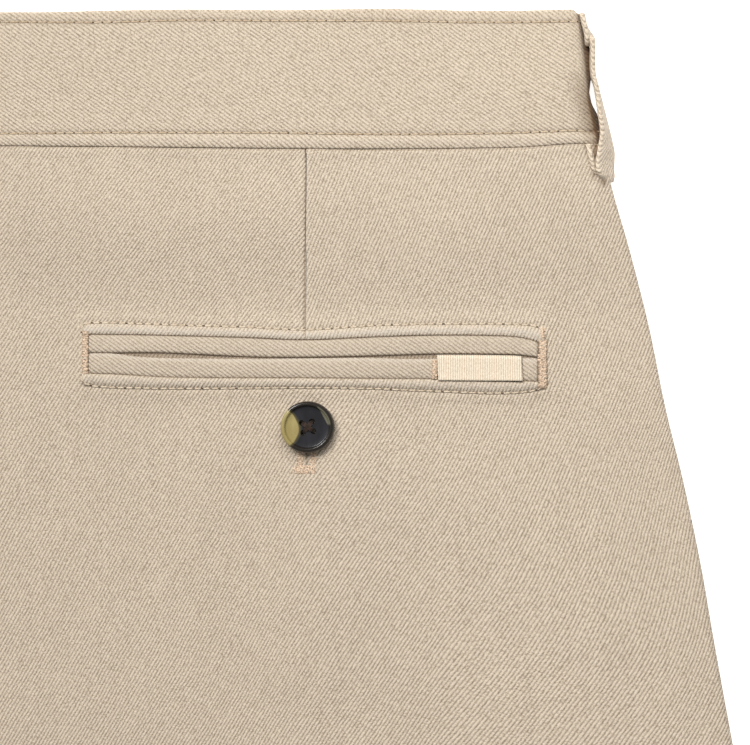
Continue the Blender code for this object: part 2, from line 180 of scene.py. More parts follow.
TOP_STITCH, TOP_EDGE, SLIT_ABOVE, SLIT_BELOW, FOOT_EDGE, FOOT_STITCH = range(1, 7)
LINE_ROWS = (83.0, 88.0, 91.0, 96.0, 102.2, 105.2, 110.0)   # rows of the panel that follow those lines
POCKET_NEAR = (67.0, 202.0, 84.0, 109.0)   # x and down within which a back pocket shapes the cloth
TOP_ROLL = (0.47, 0.8)                     # how much rubbed wear and a painted highlight pale the rolled cloth above a pocket, and its edge's painted shade
FOOT_ROLL = (0.26, 0.52)                   # and the same below it
DART_X = 132.1
DART_COLUMN = 132.0       # the column of the back that follows the dart
DART_LEAN = -0.5
DART_FROM = 40.0
DART_END = 91.2
DART_TURN = math.radians(14.5)
BUTTONHOLE_X = 132.3
BUTTONHOLE_SLIT = (121.0, 127.2)           # down
HEM_STITCH = 22.0         # from the hem's edge to its stitching
HEM_TURN = (466.5, 469.0)                  # down, where the cloth that is turned up thickens the leg
HEM_END = (491.0, 492.0)                   # down, where the hem rounds off
SLANT_POCKET = (39.5, 194.0)               # down, from end to end of the front pockets' edges
SLANT_X = (158.0, 232.0)
SLANT_CURVE = (20.0, 215.0)                # down, over which the edge bends from the first x to the second
# x, down of the painted shade in the notch between the side loop's tail and its strap
LOOP_NOTCH = ((212.9, 37.5), (212.8, 40.6))
LOOP_SHADE = (            # x, down of the shade beside the foot of the side loop
    (210.0, 37.2), (210.9, 39.6), (211.4, 42.3), (212.0, 45.0), (213.5, 46.8), (215.4, 47.6), (217.0, 48.1),
)
BACK_COLUMNS = (          # from, to, number: inner fold, cloth with the pocket's ends and dart, outer fold
    (-1.0, 0.0, 6), (0.0, 60.0, 22), (60.0, 68.8, 6), (68.8, 72.4, 9), (72.4, 129.0, 28), (129.0, 131.2, 4),
    (131.2, 132.0, 3), (132.0, 132.8, 3), (132.8, 135.4, 4), (135.4, 196.2, 30), (196.2, 200.6, 11),
    (200.6, 203.0, 2), (203.0, 213.0, 10), (213.0, 214.0, 6),
)
BACK_ROWS = (
    (PANEL_START, 39.1, 9), (39.1, 46.0, 6), (46.0, 83.0, 20), (83.0, 86.6, 4), (86.6, 88.0, 4),
    (88.0, 89.4, 5), (89.4, 90.8, 6), (90.8, 91.6, 4), (91.6, 95.4, 6), (95.4, 96.6, 4), (96.6, 101.6, 7),
    (101.6, 102.4, 4), (102.4, 103.8, 6), (103.8, 105.2, 5), (105.2, 106.6, 4), (106.6, 110.0, 4),
    (110.0, 200.0, 42), (200.0, 466.0, 54), (466.0, 491.0, 8), (491.0, 492.0, 2),
)
FRONT_COLUMNS = ((-1.0, 0.0, 5), (0.0, 60.0, 12), (60.0, 203.0, 28), (203.0, 213.0, 6), (213.0, 214.0, 5))
FRONT_ROWS = (
    (38.0, 39.5, 3), (39.5, 86.0, 12), (86.0, 285.0, 30), (285.0, 466.0, 26), (466.0, 492.0, 6),
)
NEAR = 60.0
FAR = 203.0
FAR_SPAN = 10.0
QUARTER = math.radians(90.0)
FULL_TURN = 2.0 * math.pi
SIDES = ((1.0, "right"), (-1.0, "left"))


def colour_setting(name, description, colour):
    """A colour that a user can change."""
    return bpy.props.FloatVectorProperty(
        name=name, description=description, subtype="COLOR", size=4, min=0.0, max=1.0,
        default=(*colour, 1.0),
    )


def length_setting(name, description, length, low=-1.0, high=1.0):
    """A length in metres that a user can change, from low to high."""
    return bpy.props.FloatProperty(
        name=name, description=description, unit="LENGTH", min=low, max=high, default=length,
    )


def strength_setting(name, description, strength):
    """The strength of a light."""
    return bpy.props.FloatProperty(name=name, description=description, min=0.0, default=strength)


class ClothSettings(bpy.types.PropertyGroup):
    """Twill of the shorts."""

    yarn: colour_setting("Yarn", "Colour of the raised twill lines", (0.625, 0.530, 0.418))
    # Painted shade between the raised twill lines, which also have bumped relief
    valley_shade: colour_setting("Valley shade", "Colour between the twill lines", (0.315, 0.250, 0.182))
    spacing: length_setting("Line spacing", "Distance from a twill line to the next", 0.00093, 0.0002, 0.005)
    angle: bpy.props.FloatProperty(
        name="Line angle", description="Slant of the twill lines from the weft", subtype="ANGLE",
        default=math.radians(54.0),
    )
    relief: length_setting("Relief", "Height of the twill lines", 0.00019, 0.0, 0.001)


class SewingSettings(bpy.types.PropertyGroup):
    """Thread, stitches and bar tacks."""

    waist_pitch: length_setting("Waist stitch", "Length of a stitch on the waistband", 0.0026, 0.001, 0.01)
    pocket_pitch: length_setting("Pocket stitch", "Length of a stitch round a pocket", 0.00238, 0.001, 0.01)
    hem_pitch: length_setting("Hem stitch", "Length of a stitch at hems and in front", 0.0031, 0.001, 0.01)
    thread_width: length_setting("Thread", "Width of the sewing thread", 0.00042, 0.0001, 0.001)
    waist_thread: colour_setting("Waist thread", "Colour of the waistband's thread", (0.560, 0.420, 0.270))
    pocket_thread: colour_setting("Pocket thread", "Colour of the pockets' thread", (0.660, 0.535, 0.395))
    # Painted shade where a stitch dives into its needle hole
    needle_hole_shade: colour_setting("Needle hole", "Colour where the thread goes in", (0.060, 0.040, 0.018))
    tack: colour_setting("Bar tack", "Colour of bar tacks and buttonholes", (0.540, 0.400, 0.285))


class TrimSettings(bpy.types.PropertyGroup):
    """Buttons, woven tab and zip."""

    horn: colour_setting("Horn", "Main colour of the buttons", (0.011, 0.011, 0.014))
    pale_horn: colour_setting("Pale horn", "Colour of the buttons' pale streak", (0.355, 0.295, 0.125))
    olive_horn: colour_setting("Olive horn", "Colour of the buttons' olive streak", (0.150, 0.145, 0.095))
    button_thread: colour_setting("Button thread", "Colour of the buttons' thread", (0.036, 0.019, 0.011))
    tab: colour_setting("Woven tab", "Colour of the tab on the pocket", (0.830, 0.740, 0.605))
    zip_tape: colour_setting("Zip tape", "Colour of the zip's tape", (0.450, 0.360, 0.260))
    zip_teeth: colour_setting("Zip teeth", "Colour of the zip's metal teeth", (0.420, 0.340, 0.190))


class StageSettings(bpy.types.PropertyGroup):
    """Camera, light and floor."""

    view_x: length_setting("View across", "Where the camera looks, from the centre back seam", 0.1514)
    view_y: length_setting("View along", "Where the camera looks, from the middle of the length", 0.1453)
    view_width: length_setting("View width", "Width of cloth that the camera takes in", 0.2095, 0.01)
    lens: bpy.props.FloatProperty(
        name="Lens", description="Focal length of the camera in millimetres", min=20.0, default=200.0,
    )
    key: strength_setting("Key light", "Strength of the sun from the upper left", 2.33)
    side: strength_setting("Side light", "Power of the lamp at the upper right, in watts", 1.75)
    fill: strength_setting("Sky light", "Strength of the even light all round", 0.30)
    floor: colour_setting("Floor", "Colour of the floor", (0.92, 0.92, 0.92))
    glow: strength_setting("Light table", "Strength of the light that the floor gives", 0.75)


def smooth(value, low, high):
    """Ease from 0 at low to 1 at high."""
    share = min(max((value - low) / (high - low), 0.0), 1.0)
    return share * share * (3.0 - 2.0 * share)


def fade(value, low, high):
    """Ease from 1 at low to 0 at high."""
    return 1.0 - smooth(value, low, high)


def mix(first, second, share):
    return first + (second - first) * share


def bell(distance, half_width):
    return math.exp(-((distance / half_width) ** 2))


def along(table, down, column=1):
    """Read one column of a table at a place, on a smooth curve through its rows."""
    if down <= table[0][0]:
        return table[0][column]
    if down >= table[-1][0]:
        return table[-1][column]
    row = 0
    while table[row + 1][0] < down:
        row += 1
    before = table[max(row - 1, 0)]
    start = table[row]
    end = table[row + 1]
    after = table[min(row + 2, len(table) - 1)]
    span = end[0] - start[0]
    share = (down - start[0]) / span
    slope_in = (end[column] - before[column]) / (end[0] - before[0]) * span
    slope_out = (after[column] - start[column]) / (after[0] - start[0]) * span
    square = share * share
    cube = square * share
    return (
        (2.0 * cube - 3.0 * square + 1.0) * start[column]
        + (cube - 2.0 * square + share) * slope_in
        + (3.0 * square - 2.0 * cube) * end[column]
        + (cube - square) * slope_out
    )


def spread(spans):
    """List the places that spans of (from, to, number) give."""
    places = [spans[0][0]]
    for start, end, count in spans:
        places += [mix(start, end, step / count) for step in range(1, count + 1)]
    return places


def place(x, down, height):
    """Turn a place on the garment into metres, with the middle of its length at Y = 0."""
    return Vector((x * MM, (HEM_INNER / 2.0 - down) * MM, height * MM))


def down_of(y):
    """How far down the garment a Y of the frame lies."""
    return HEM_INNER / 2.0 - y / MM


def off_line(x, down, start, end):
    """Distance from a line between two places."""
    run_x = end[0] - start[0]
    run_down = end[1] - start[1]
    share = ((x - start[0]) * run_x + (down - start[1]) * run_down) / (run_x ** 2 + run_down ** 2)
    share = min(max(share, 0.0), 1.0)
    return math.hypot(x - start[0] - run_x * share, down - start[1] - run_down * share)


def fold_height(x, down):
    """Add up the soft ridges and troughs at a place."""
    total = 0.0
    for x1, down1, x2, down2, half_width, height in FOLDS:
        away = off_line(x, down, (x1, down1), (x2, down2))
        if away < 3.0 * half_width:
            total += height * bell(away, half_width)
    return total


def lift(down):
    """Height of the front's outer face over the ground."""
    return FRONT_LIFT * fade(down, LIFT_FROM, LIFT_TO)


def pocket_rise(x, down):
    """Extra height where the layers of a back pocket lie."""
    across = abs(x)
    rise = smooth(across, POCKET_INNER - RISE_FLANK, POCKET_INNER)
    rise *= fade(across, POCKET_OUTER, POCKET_OUTER + RISE_FLANK)
    rise *= smooth(down, WELT_TOP - RISE_FLANK, WELT_TOP)
    rise *= fade(down, WELT_BOTTOM, WELT_BOTTOM + RISE_FLANK)
    return POCKET_RISE * rise


def leg_share(down):
    """0 on the seat, where the backs meet at the centre seam, and 1 on the legs."""
    return smooth(down, CROTCH_FROM, CROTCH_TO)


def back_top(x, down):
    """Height of the solid back's outer face."""
    from_outer = smooth(along(OUTER_EDGE, down) - abs(x), 0.0, OUTER_EASE)
    from_inner = smooth(abs(x) - along(INNER_EDGE, down), 0.0, INNER_EASE)
    room = from_outer * (1.0 - leg_share(down) * (1.0 - from_inner))
    flat = EDGE_HEIGHT + lift(down) + along(LOFT, down) * room
    return flat + pocket_rise(x, down) + fold_height(x, down) * room


def dart_x(down):
    """Where the dart's seam runs, which leans a little."""
    return DART_X + DART_LEAN * smooth(down, DART_FROM, DART_END)


def dart_share(down):
    """1 along the dart, easing to 0 at its end."""
    return fade(down, DART_END - 1.0, DART_END + 1.0)


def waist_seam(x):
    """Where the waist seam runs, which sewing leaves a little uneven."""
    return along(BAND_LINES, abs(x), 4)


def unevenness(x, down):
    """Small waves that ironed cloth keeps."""
    spot = Vector((x, down, 0.0))
    return 0.14 * noise.noise(spot / 17.0) + 0.05 * noise.noise(spot / 6.0)


def pucker(x, down, off):
    """Small bumps that thread pulls up beside a row of stitches, off millimetres away."""
    if abs(off) > 4.0:
        return 0.0
    return 0.09 * noise.noise(Vector((x / 1.7, down / 2.6, 1.0))) * bell(off, 1.6)


def pocket_lines(across):
    """Where the lines of a back pocket run, in the table's order."""
    return [along(POCKET_LINES, across, line) for line in range(1, 7)]


def pocket_share(across, down):
    """Place on the roll round a pocket, and how far from its stitching and beyond its edge.

    The place is 0 at the stitching, 1 at the edge and more over the welts.
    """
    top_stitch, top_edge, _, _, foot_edge, foot_stitch = pocket_lines(across)
    if down < (top_edge + foot_edge) / 2.0:
        return (down - top_stitch) / (top_edge - top_stitch), down - top_stitch, down - top_edge
    return (foot_stitch - down) / (foot_stitch - foot_edge), down - foot_stitch, foot_edge - down


def pocket_relief(across, down):
    """Rolled cloth round a back pocket's opening, the stitches' groove, and the recess under the welts."""
    inner, outer, top, foot = POCKET_NEAR
    if not (inner < across < outer and top < down < foot):
        return 0.0
    ends = smooth(across, 68.7, 70.2) * fade(across, 198.0, 200.2)
    opening = smooth(across, 71.3, 71.9) * fade(across, 196.8, 197.4)
    share, off, beyond = pocket_share(across, down)
    sewn = 0.12 * bell(share + 0.5, 0.35) - 0.11 * bell(off, 0.45) + pucker(across, down, off)
    if share <= 0.0:
        return sewn * ends
    if beyond < 0.0:
        fall = max(0.0, (share - 0.55) / 0.45)
        rise = 1.0 - (1.0 - min(share / 0.6, 1.0)) ** 2
        rolled = rise * math.sqrt(max(0.0, 1.0 - fall * fall))
        return (0.70 * rolled + sewn) * ends
    return -0.45 * smooth(beyond, -0.1, 0.4) * opening


def dart_relief(across, down):
    """The dart's folded cloth lies on the outer side of its seam."""
    if down > DART_END + 1.0 or abs(across - DART_X) > 9.0:
        return 0.0
    off = across - dart_x(down)
    fold = 0.20 * smooth(off, 0.0, 0.5) * fade(off, 2.0, 8.0)
    return dart_share(down) * (fold - 0.26 * bell(off, 0.28))


def seam_drop(across, down):
    """How far the cloth turns down into the waist seam and the centre seam."""
    centre = 0.9 * fade(across, 0.2, 1.5) ** 1.5 * (1.0 - leg_share(down))
    raised = 0.7 * smooth(across, 150.0, 205.0) * fade(down, 40.0, 62.0)
    if down > 42.0:
        return centre - raised
    off = down - waist_seam(across)
    return max(0.8 * fade(off, -0.7, 0.14) ** 1.3, centre) - 0.22 * bell(off - 1.1, 1.0) - raised


def shell_top(x, down):
    """Height of the sewn back's outer face."""
    across = abs(x)
    height = back_top(x, down) + unevenness(x, down)
    height += pocket_relief(across, down) + dart_relief(across, down)
    return height - seam_drop(across, down)


def painted_light_and_wear_mark(across, down):
    """How much painted shade darkens the cloth, up to 1, or painted highlight and rubbed wear pale it, below
    0.
    """
    # Painted shade in the centre seam, then in the waist seam
    mark = 0.7 * bell(across, 0.8) * (1.0 - leg_share(down))
    if down < 42.0:
        mark += 0.38 * bell(down - waist_seam(across) - 0.1, 0.16)
    # Painted shade in the dart's seam, with a painted highlight on its raised edge
    if down < DART_END + 1.0:
        off = across - dart_x(down)
        mark += (0.62 * bell(off, 0.20) - 0.2 * bell(off - 0.7, 0.4)) * dart_share(down)
    # Rubbed wear and a painted highlight pale the rolls round a pocket; painted shade falls along their
    # edges, in the opening and at its ends
    if 70.0 < across < 199.0 and POCKET_NEAR[2] < down < POCKET_NEAR[3]:
        share, off, beyond = pocket_share(across, down)
        ends = smooth(across, 69.0, 70.4) * fade(across, 197.0, 199.0)
        painted_highlight_and_rub, shaded = TOP_ROLL if off > 0.0 and beyond > -4.0 and down < 96.0 else FOOT_ROLL
        mark -= painted_highlight_and_rub * bell(share - 0.55, 0.30) * ends
        mark += (shaded * bell(beyond, 0.26) + 0.48 * smooth(beyond, 0.8, 2.4)) * ends
        if beyond > 0.0 and 90.0 < down < 103.0:
            mark += 0.8 * (bell(across - 197.1, 0.25) + bell(across - 71.6, 0.25))
    # Painted shade in the buttonhole's slit
    if BUTTONHOLE_SLIT[0] < down < BUTTONHOLE_SLIT[1]:
        mark += mix(0.9, 0.5, smooth(down, 123.8, 124.8)) * bell(across - BUTTONHOLE_X, 0.26)
    # Painted shade in the notch by the side loop's tail, and beside the loop's foot
    if across > 209.0 and down < 42.5:
        mark += 1.1 * bell(off_line(across, down, *LOOP_NOTCH), 0.7)
    if across > 208.5 and down < 50.0:
        for start, end in zip(LOOP_SHADE, LOOP_SHADE[1:]):
            mark += 0.5 * bell(off_line(across, down, start, end), 0.4)
    return max(min(mark, 1.0), -1.0)


def woven_across(across, down):
    """The cloth is a little tighter towards the centre seam, and stretched over the hip."""
    tight = 0.085 * min(across - 128.0, 0.0)
    loose = 0.15 * max(across - 170.0, 0.0) * smooth(down, 120.0, 190.0)
    edge = max(26.0 - along(OUTER_EDGE, down) + across, 0.0)
    return across + tight - loose + 0.004 * edge * edge * smooth(down, 90.0, 125.0)


def panel_grain(x, down):
    """Place in the cloth as woven, which the dart turns round its point."""
    side = math.copysign(1.0, x)
    across = abs(x)
    fall = down - 97.0
    around = math.atan2(across - DART_X, fall)
    turn = DART_TURN * smooth(around, 0.0, math.radians(110.0)) if around > 0.0 else 0.0
    turn += math.radians(mix(-1.5, 3.5, smooth(down, 60.0, 190.0)))
    turn *= side
    u = side * (woven_across(across, down) - DART_X)
    v = -fall
    return (
        u * math.cos(turn) + v * math.sin(turn) + side * DART_X,
        v * math.cos(turn) - u * math.sin(turn),
    )


def band_grain(run, down):
    """The waistband, welts and loops are cut with the warp along them."""
    return (-down, -run)


# Shapes

def open_shape():
    shape = bmesh.new()
    shape.verts.layers.float_vector.new(LAID)
    shape.verts.layers.float.new(PAINTED_LIGHT_AND_WEAR)
    return shape


def add_grid(shape, columns, rows, point):
    """Lay out a grid by point(column, row), which gives a place, its place in the cloth, and its mark of
    painted shade, painted highlight and rubbed wear.
    """
    laid = shape.verts.layers.float_vector[LAID]
    painted_light_and_wear = shape.verts.layers.float[PAINTED_LIGHT_AND_WEAR]
    made = bmesh.ops.create_grid(shape, x_segments=columns, y_segments=rows, size=0.5)["verts"]
    for vert in made:
        column = round((vert.co.x + 0.5) * columns)
        row = round((0.5 - vert.co.y) * rows)
        spot, in_cloth, mark = point(column, row)
        vert.co = place(*spot)
        vert[laid] = (*in_cloth, 0.0)
        vert[painted_light_and_wear] = mark
    return made


def new_mesh(shape, name):
    mesh = bpy.data.meshes.new(name)
    shape.to_mesh(mesh)
    shape.free()
    return mesh


def new_object(name, data):
    made = bpy.data.objects.new(name, data)
    bpy.context.scene.collection.objects.link(made)
    return made


def finish_shape(shape, name, material, slot, replaces=(), flip=False, closed=False, wall=0.0):
    """Make the shape an object that rides on the garment; wall is the cloth's thickness in millimetres."""
    grain = shape.loops.layers.uv.new(GRAIN)
    laid = shape.verts.layers.float_vector[LAID]
    for face in shape.faces:
        for loop in face.loops:
            loop[grain].uv = loop.vert[laid].xy
    shape.verts.layers.float_vector.remove(laid)
    if closed:
        bmesh.ops.remove_doubles(shape, verts=shape.verts, dist=MERGE)
        bmesh.ops.holes_fill(shape, edges=[edge for edge in shape.edges if edge.is_boundary])
        bmesh.ops.recalc_face_normals(shape, faces=shape.faces)
    if flip:
        bmesh.ops.reverse_faces(shape, faces=shape.faces)
    mesh = new_mesh(shape, name)
    mesh.shade_smooth()
    mesh.materials.append(material)
    built = new_object(name, mesh)
    if wall:
        solid = built.modifiers.new("wall", "SOLIDIFY")
        solid.thickness = wall * MM
        solid.offset = -1.0
    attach(built, BODY)
    if replaces:
        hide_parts(*replaces)
    return built


def lay_cloth(name, columns, rows, point, material, slot="twill", **finish):
    """Make a piece of one grid."""
    shape = open_shape()
    add_grid(shape, columns, rows, point)
    return finish_shape(shape, name, material, slot, **finish)


def edge_turn(share):
    """Angle of the cloth round its folded edge, closer set near the seam."""
    return QUARTER * (1.0 - (1.0 - share) ** EDGE_CROWDING)


def column_place(across, down):
    """Where a column of a panel lies, and its turns at the inner and the outer fold."""
    inner = along(INNER_EDGE, down) + EDGE_RADIUS
    outer = along(OUTER_EDGE, down) - EDGE_RADIUS + EDGE_OVER
    if across < NEAR:
        x = mix(inner, NEAR, max(across, 0.0) / NEAR)
    elif across <= FAR:
        x = across + (dart_x(down) - DART_COLUMN) * fade(abs(across - DART_COLUMN), 1.0, 3.0)
    else:
        x = mix(FAR, outer, min((across - FAR) / FAR_SPAN, 1.0))
    inner_turn = edge_turn(min(max(-across, 0.0), 1.0))
    outer_turn = edge_turn(min(max(across - FAR - FAR_SPAN, 0.0), 1.0))
    return x, inner_turn, outer_turn


def read_across(rows, lines, row_down):
    """Where a row lies when the given rows run along the given lines."""
    step = 0
    while step < len(rows) - 2 and rows[step + 1] < row_down:
        step += 1
    return mix(lines[step], lines[step + 1], (row_down - rows[step]) / (rows[step + 1] - rows[step]))


def follow_lines(x, row_down):
    """Move a row so that rows run along the pocket's stitching, edges and slit."""
    if not LINE_ROWS[0] < row_down < LINE_ROWS[-1]:
        return row_down
    top_stitch, top_edge, slit_above, slit_below, foot_edge, foot_stitch = pocket_lines(x)
    slit = (slit_above + slit_below) / 2.0
    lines = (LINE_ROWS[0], top_stitch, top_edge, slit, foot_edge, foot_stitch, LINE_ROWS[-1])
    window = smooth(x, 45.0, 62.0) * fade(x, 204.0, 222.0)
    return mix(row_down, read_across(LINE_ROWS, lines, row_down), window)


def panel_layout(side, is_back, columns, downs):
    """Return the function that lays out a back or front panel."""
    def point(column, row):
        row_down = downs[row]
        fan = max(0.0, row_down - HEM_FAN_FROM) / (HEM_INNER - HEM_FAN_FROM)
        down = row_down
        for _ in range(2 if fan else 1):
            x, inner_turn, outer_turn = column_place(columns[column], down)
            inner = along(INNER_EDGE, down)
            share = (x - inner) / (along(OUTER_EDGE, down) - inner)
            down = row_down - HEM_SLANT * fan * min(max(share, 0.0), 1.0)
        if fan:
            x, inner_turn, outer_turn = column_place(columns[column], down)
        if is_back:
            down = follow_lines(x, down) + (waist_seam(x) - WAIST_SEAM) * fade(row_down, 41.0, 58.0)
        top = back_top(side * x, down)
        half = (top - lift(down)) / 2.0 - EDGE_SPLIT
        leg = leg_share(down)
        drop = half * (1.0 - math.cos(outer_turn)) + half * (1.0 - math.cos(inner_turn)) * leg
        curled = math.sin(inner_turn)
        flat = inner_turn / QUARTER
        out = x + EDGE_RADIUS * (math.sin(outer_turn) - mix(flat, curled, leg))
        hem = 0.35 * smooth(row_down, *HEM_TURN) - 0.5 * smooth(row_down, *HEM_END)
        hem *= 1.0 - max(outer_turn, inner_turn) / QUARTER
        if is_back:
            detail = shell_top(side * out, down) - back_top(side * out, down)
            height = top - drop + detail * (1.0 - outer_turn / QUARTER) + hem
            # Painted shade where the cloth turns down over its outer fold
            mark = painted_light_and_wear_mark(out, down) + 0.35 * (outer_turn / QUARTER) ** 2
        else:
            height = lift(down) + drop + front_relief(out, down) - min(hem, 0.0)
            mark = front_painted_shade(out, down)
        return (side * out, down, height), panel_grain(side * out, down), mark
    return point


def lay_panels(context, part, column_spans, row_spans):
    """Make the right and left panel of the back or the front."""
    material = twill_material("chino_twill", context.scene.shorts_cloth)
    columns = spread(column_spans)
    downs = spread(row_spans)
    is_back = part == "back"
    for side, word in SIDES:
        lay_cloth(
            f"{part}_{word}_cloth", len(columns) - 1, len(downs) - 1,
            panel_layout(side, is_back, columns, downs), material,
            replaces=(f"{part}_{word}",), flip=(side < 0.0) == is_back, wall=PANEL_WALL,
        )


def front_relief(across, down):
    """The front's outer face keeps to the ground, and turns up into its seams."""
    centre = 0.5 * fade(across, 0.2, 1.5) * (1.0 - leg_share(down))
    waist = 0.6 * fade(down, 38.0, 39.0)
    ripple = 0.35 * max(0.0, noise.noise(Vector((across / 34.0, down / 21.0, 5.0))))
    groove = 0.3 * bell(slant_pocket_off(across, down), 0.9)
    return max(centre, waist) + ripple * smooth(across, 2.0, 20.0) + groove


def slant_x(down):
    """Where the edge of a front slant pocket runs."""
    return mix(*SLANT_X, smooth(down, *SLANT_CURVE))


def slant_pocket_off(across, down):
    """Distance from the edge of a front slant pocket, which is closed and lies flat."""
    if not WAIST_SEAM < down < SLANT_POCKET[1] + 2.0:
        return 9.0
    return across - slant_x(down)


def front_painted_shade(across, down):
    """Painted shade in the front's seams and along its pocket edges."""
    mark = 0.8 * bell(down - WAIST_SEAM, 0.6) + 0.8 * bell(across, 0.9) * (1.0 - leg_share(down))
    return min(mark + 0.8 * bell(slant_pocket_off(across, down), 1.0), 1.0)


# The waistband is one folded ring: front left, left side, back, right side, front right
RING_FRONT = 56
RING_FOLD = 14
RING_BACK = 190
RING_COLUMNS = 2 * RING_FRONT + 2 * RING_FOLD + RING_BACK
RING_REACH = 210.0        # x where the ring turns over, for its lines
FLY_GAP = 0.15


def band_down(x, row_down):
    """Move a row of the band so that its edges and stitching run along their lines."""
    across = min(abs(x), BAND_LINES[-1][0])
    lines = [along(BAND_LINES, across, line) for line in range(1, 5)]
    return read_across((0.0, TOP_ROW, FOOT_ROW, WAIST_SEAM), lines, row_down)


def side_bulge(down):
    """How far the inner layer sags out of the band's side fold, behind the belt loop."""
    upper = (1.0 + 1.0 * smooth(down, 5.5, 8.0)) * fade(down, 18.8, 20.4)
    return upper + 1.1 * smooth(down, 27.0, 28.6)


def shoulder(x, row_down, reach):
    """How far the band's face slopes down towards its side fold, most behind the belt loop's foot."""
    fold = (0.35 + 0.5 * smooth(row_down, 17.0, 25.0)) * smooth(abs(x), reach - 3.5, reach)
    return fold + 0.5 * smooth(row_down, 20.0, 37.0) * smooth(abs(x), 165.0, 203.0)


def ring_spot(column, row_down, inset):
    """Place on the ring at a column, with the distance run along it, and how much it faces up."""
    down = band_down(RING_REACH, row_down)
    reach = along(OUTER_EDGE, down) - BAND_RADIUS
    middle = FRONT_LIFT + BAND_HEIGHT / 2.0
    half = BAND_HEIGHT / 2.0
    fold_run = math.pi * (BAND_RADIUS + half) / 2.0
    if column <= RING_FRONT or column >= RING_COLUMNS - RING_FRONT:
        side = -1.0 if column <= RING_FRONT else 1.0
        share = min(column, RING_COLUMNS - column) / RING_FRONT
        x = side * mix(FLY_GAP, reach, share)
        spot = (x, band_down(x, row_down), middle - half + inset)
        return spot, side * (2.0 * reach + fold_run - abs(x)), 0.0
    off = column - RING_COLUMNS / 2.0
    if abs(off) <= RING_BACK / 2.0:
        x = reach * off / (RING_BACK / 2.0)
        height = middle + half + along(BAND_SECTION, row_down) - inset - shoulder(x, row_down, reach)
        return (x, band_down(x, row_down), height), x, 1.0
    side = math.copysign(1.0, off)
    turn = math.pi * (abs(off) - RING_BACK / 2.0) / RING_FOLD
    facing = max(math.cos(turn), 0.0)
    sag = side_bulge(down) * smooth(turn, 1.2, 1.9) * math.sin(turn) if inset == 0.0 else 0.0
    x = side * (reach + (BAND_RADIUS - inset) * math.sin(turn) + sag)
    top = half - inset + (along(BAND_SECTION, row_down) - shoulder(reach, row_down, reach)) * facing
    return (x, down, middle + top * math.cos(turn)), side * (reach + fold_run * turn / math.pi), facing


def ring_wave(run, down, facing):
    """Unevenness of the band's outer face, with bumps beside its stitching."""
    wave = 0.13 * noise.noise(Vector((run / 19.0, down / 16.0, 3.0)))
    for row in (TOP_ROW, FOOT_ROW):
        wave += pucker(run, down, down - row)
    return wave * facing


def band_profile():
    """List (down, inset) round the band's section: outer face, foot, inner face and rounded top."""
    outer = spread((
        (1.0, 2.4, 3), (2.4, 3.4, 4), (3.4, 5.0, 2), (5.0, 32.0, 9), (32.0, 33.6, 2), (33.6, 34.6, 4),
        (34.6, 36.8, 5), (36.8, 37.9, 5),
    ))
    profile = [(down, 0.0) for down in outer]
    profile += [(37.7, 1.4), (37.2, BAND_THICKNESS)]
    profile += [(down, BAND_THICKNESS) for down in (30.0, 18.0, 8.0, 1.0)]
    nose = BAND_THICKNESS / 2.0
    for step in range(1, 8):
        angle = math.pi * step / 8.0
        profile.append((1.0 - math.sin(angle), nose + nose * math.cos(angle)))
    profile.append((1.0, 0.0))
    return profile


def waistband_mark(row_down, facing, spot):
    """Painted shade in the stitched grooves, along the top edge, at the foot, beside the side loop, on the
    side fold and on the sagging layer, and a painted highlight on the ridge along the foot.
    """
    mark = 0.22 * (bell(row_down - TOP_ROW, 0.5) + bell(row_down - FOOT_ROW, 0.5))
    mark += 0.06 * fade(row_down, 2.6, 4.2) * facing
    mark += 0.3 * smooth(row_down, 37.6, 37.9) - 0.15 * bell(row_down - 35.9, 0.9) * facing
    # Painted shade on the band beside the side loop, and a darker wedge of painted shade on its side fold
    # behind the loop
    off = along(OUTER_EDGE, spot[1]) - BAND_RADIUS - abs(spot[0])
    mark += 0.3 * fade(off, 0.5, 4.0) * smooth(spot[1], 15.0, 21.0)
    wedge = 0.35 * fade(off, -0.9, 1.0) + 0.75 * fade(off, -2.2, -0.9)
    mark += wedge * smooth(spot[1], 19.0, 26.0)
    # Painted shade on the side fold and the layer that sags out of it
    if abs(spot[0]) > RING_REACH - 4.0:
        mark += smooth(1.0 - facing, 0.35, 1.0) * (0.35 + 0.4 * side_bulge(spot[1]))
    return max(min(mark, 1.0), -1.0)


# Node helpers

def fill_inputs(tree, node, inputs):
    """Set or link a node's inputs, by the socket's name or number."""
    for key, value in inputs.items():
        if isinstance(value, bpy.types.NodeSocket):
            tree.links.new(value, node.inputs[key])
        else:
            node.inputs[key].default_value = value


def add_node(tree, kind, inputs=None, **options):
    node = tree.nodes.new(kind)
    for option, value in options.items():
        setattr(node, option, value)
    fill_inputs(tree, node, inputs or {})
    return node


def calc(tree, operation, *values, clamp=False):
    """Add a Math node and return its result."""
    node = add_node(tree, "ShaderNodeMath", dict(enumerate(values)), operation=operation, use_clamp=clamp)
    return node.outputs[0]


def noise_level(tree, vector, scale, detail=2.0):
    node = add_node(tree, "ShaderNodeTexNoise", {"Vector": vector, "Scale": scale, "Detail": detail})
    return node.outputs["Fac"]


def scaled(tree, vector, factors):
    node = add_node(tree, "ShaderNodeVectorMath", {0: vector, 1: factors}, operation="MULTIPLY")
    return node.outputs[0]


def blend(tree, factor, first, second, kind="MIX"):
    """Mix two colours and return the result."""
    node = add_node(tree, "ShaderNodeMix", data_type="RGBA", blend_type=kind)
    fill_inputs(tree, node, {0: factor, 6: first, 7: second})
    return node.outputs[2]


def ramp(tree, value, low, high):
    """Ease a value from 0 at low to 1 at high."""
    node = add_node(
        tree, "ShaderNodeMapRange", {"Value": value, "From Min": low, "From Max": high},
        interpolation_type="SMOOTHSTEP",
    )
    return node.outputs["Result"]


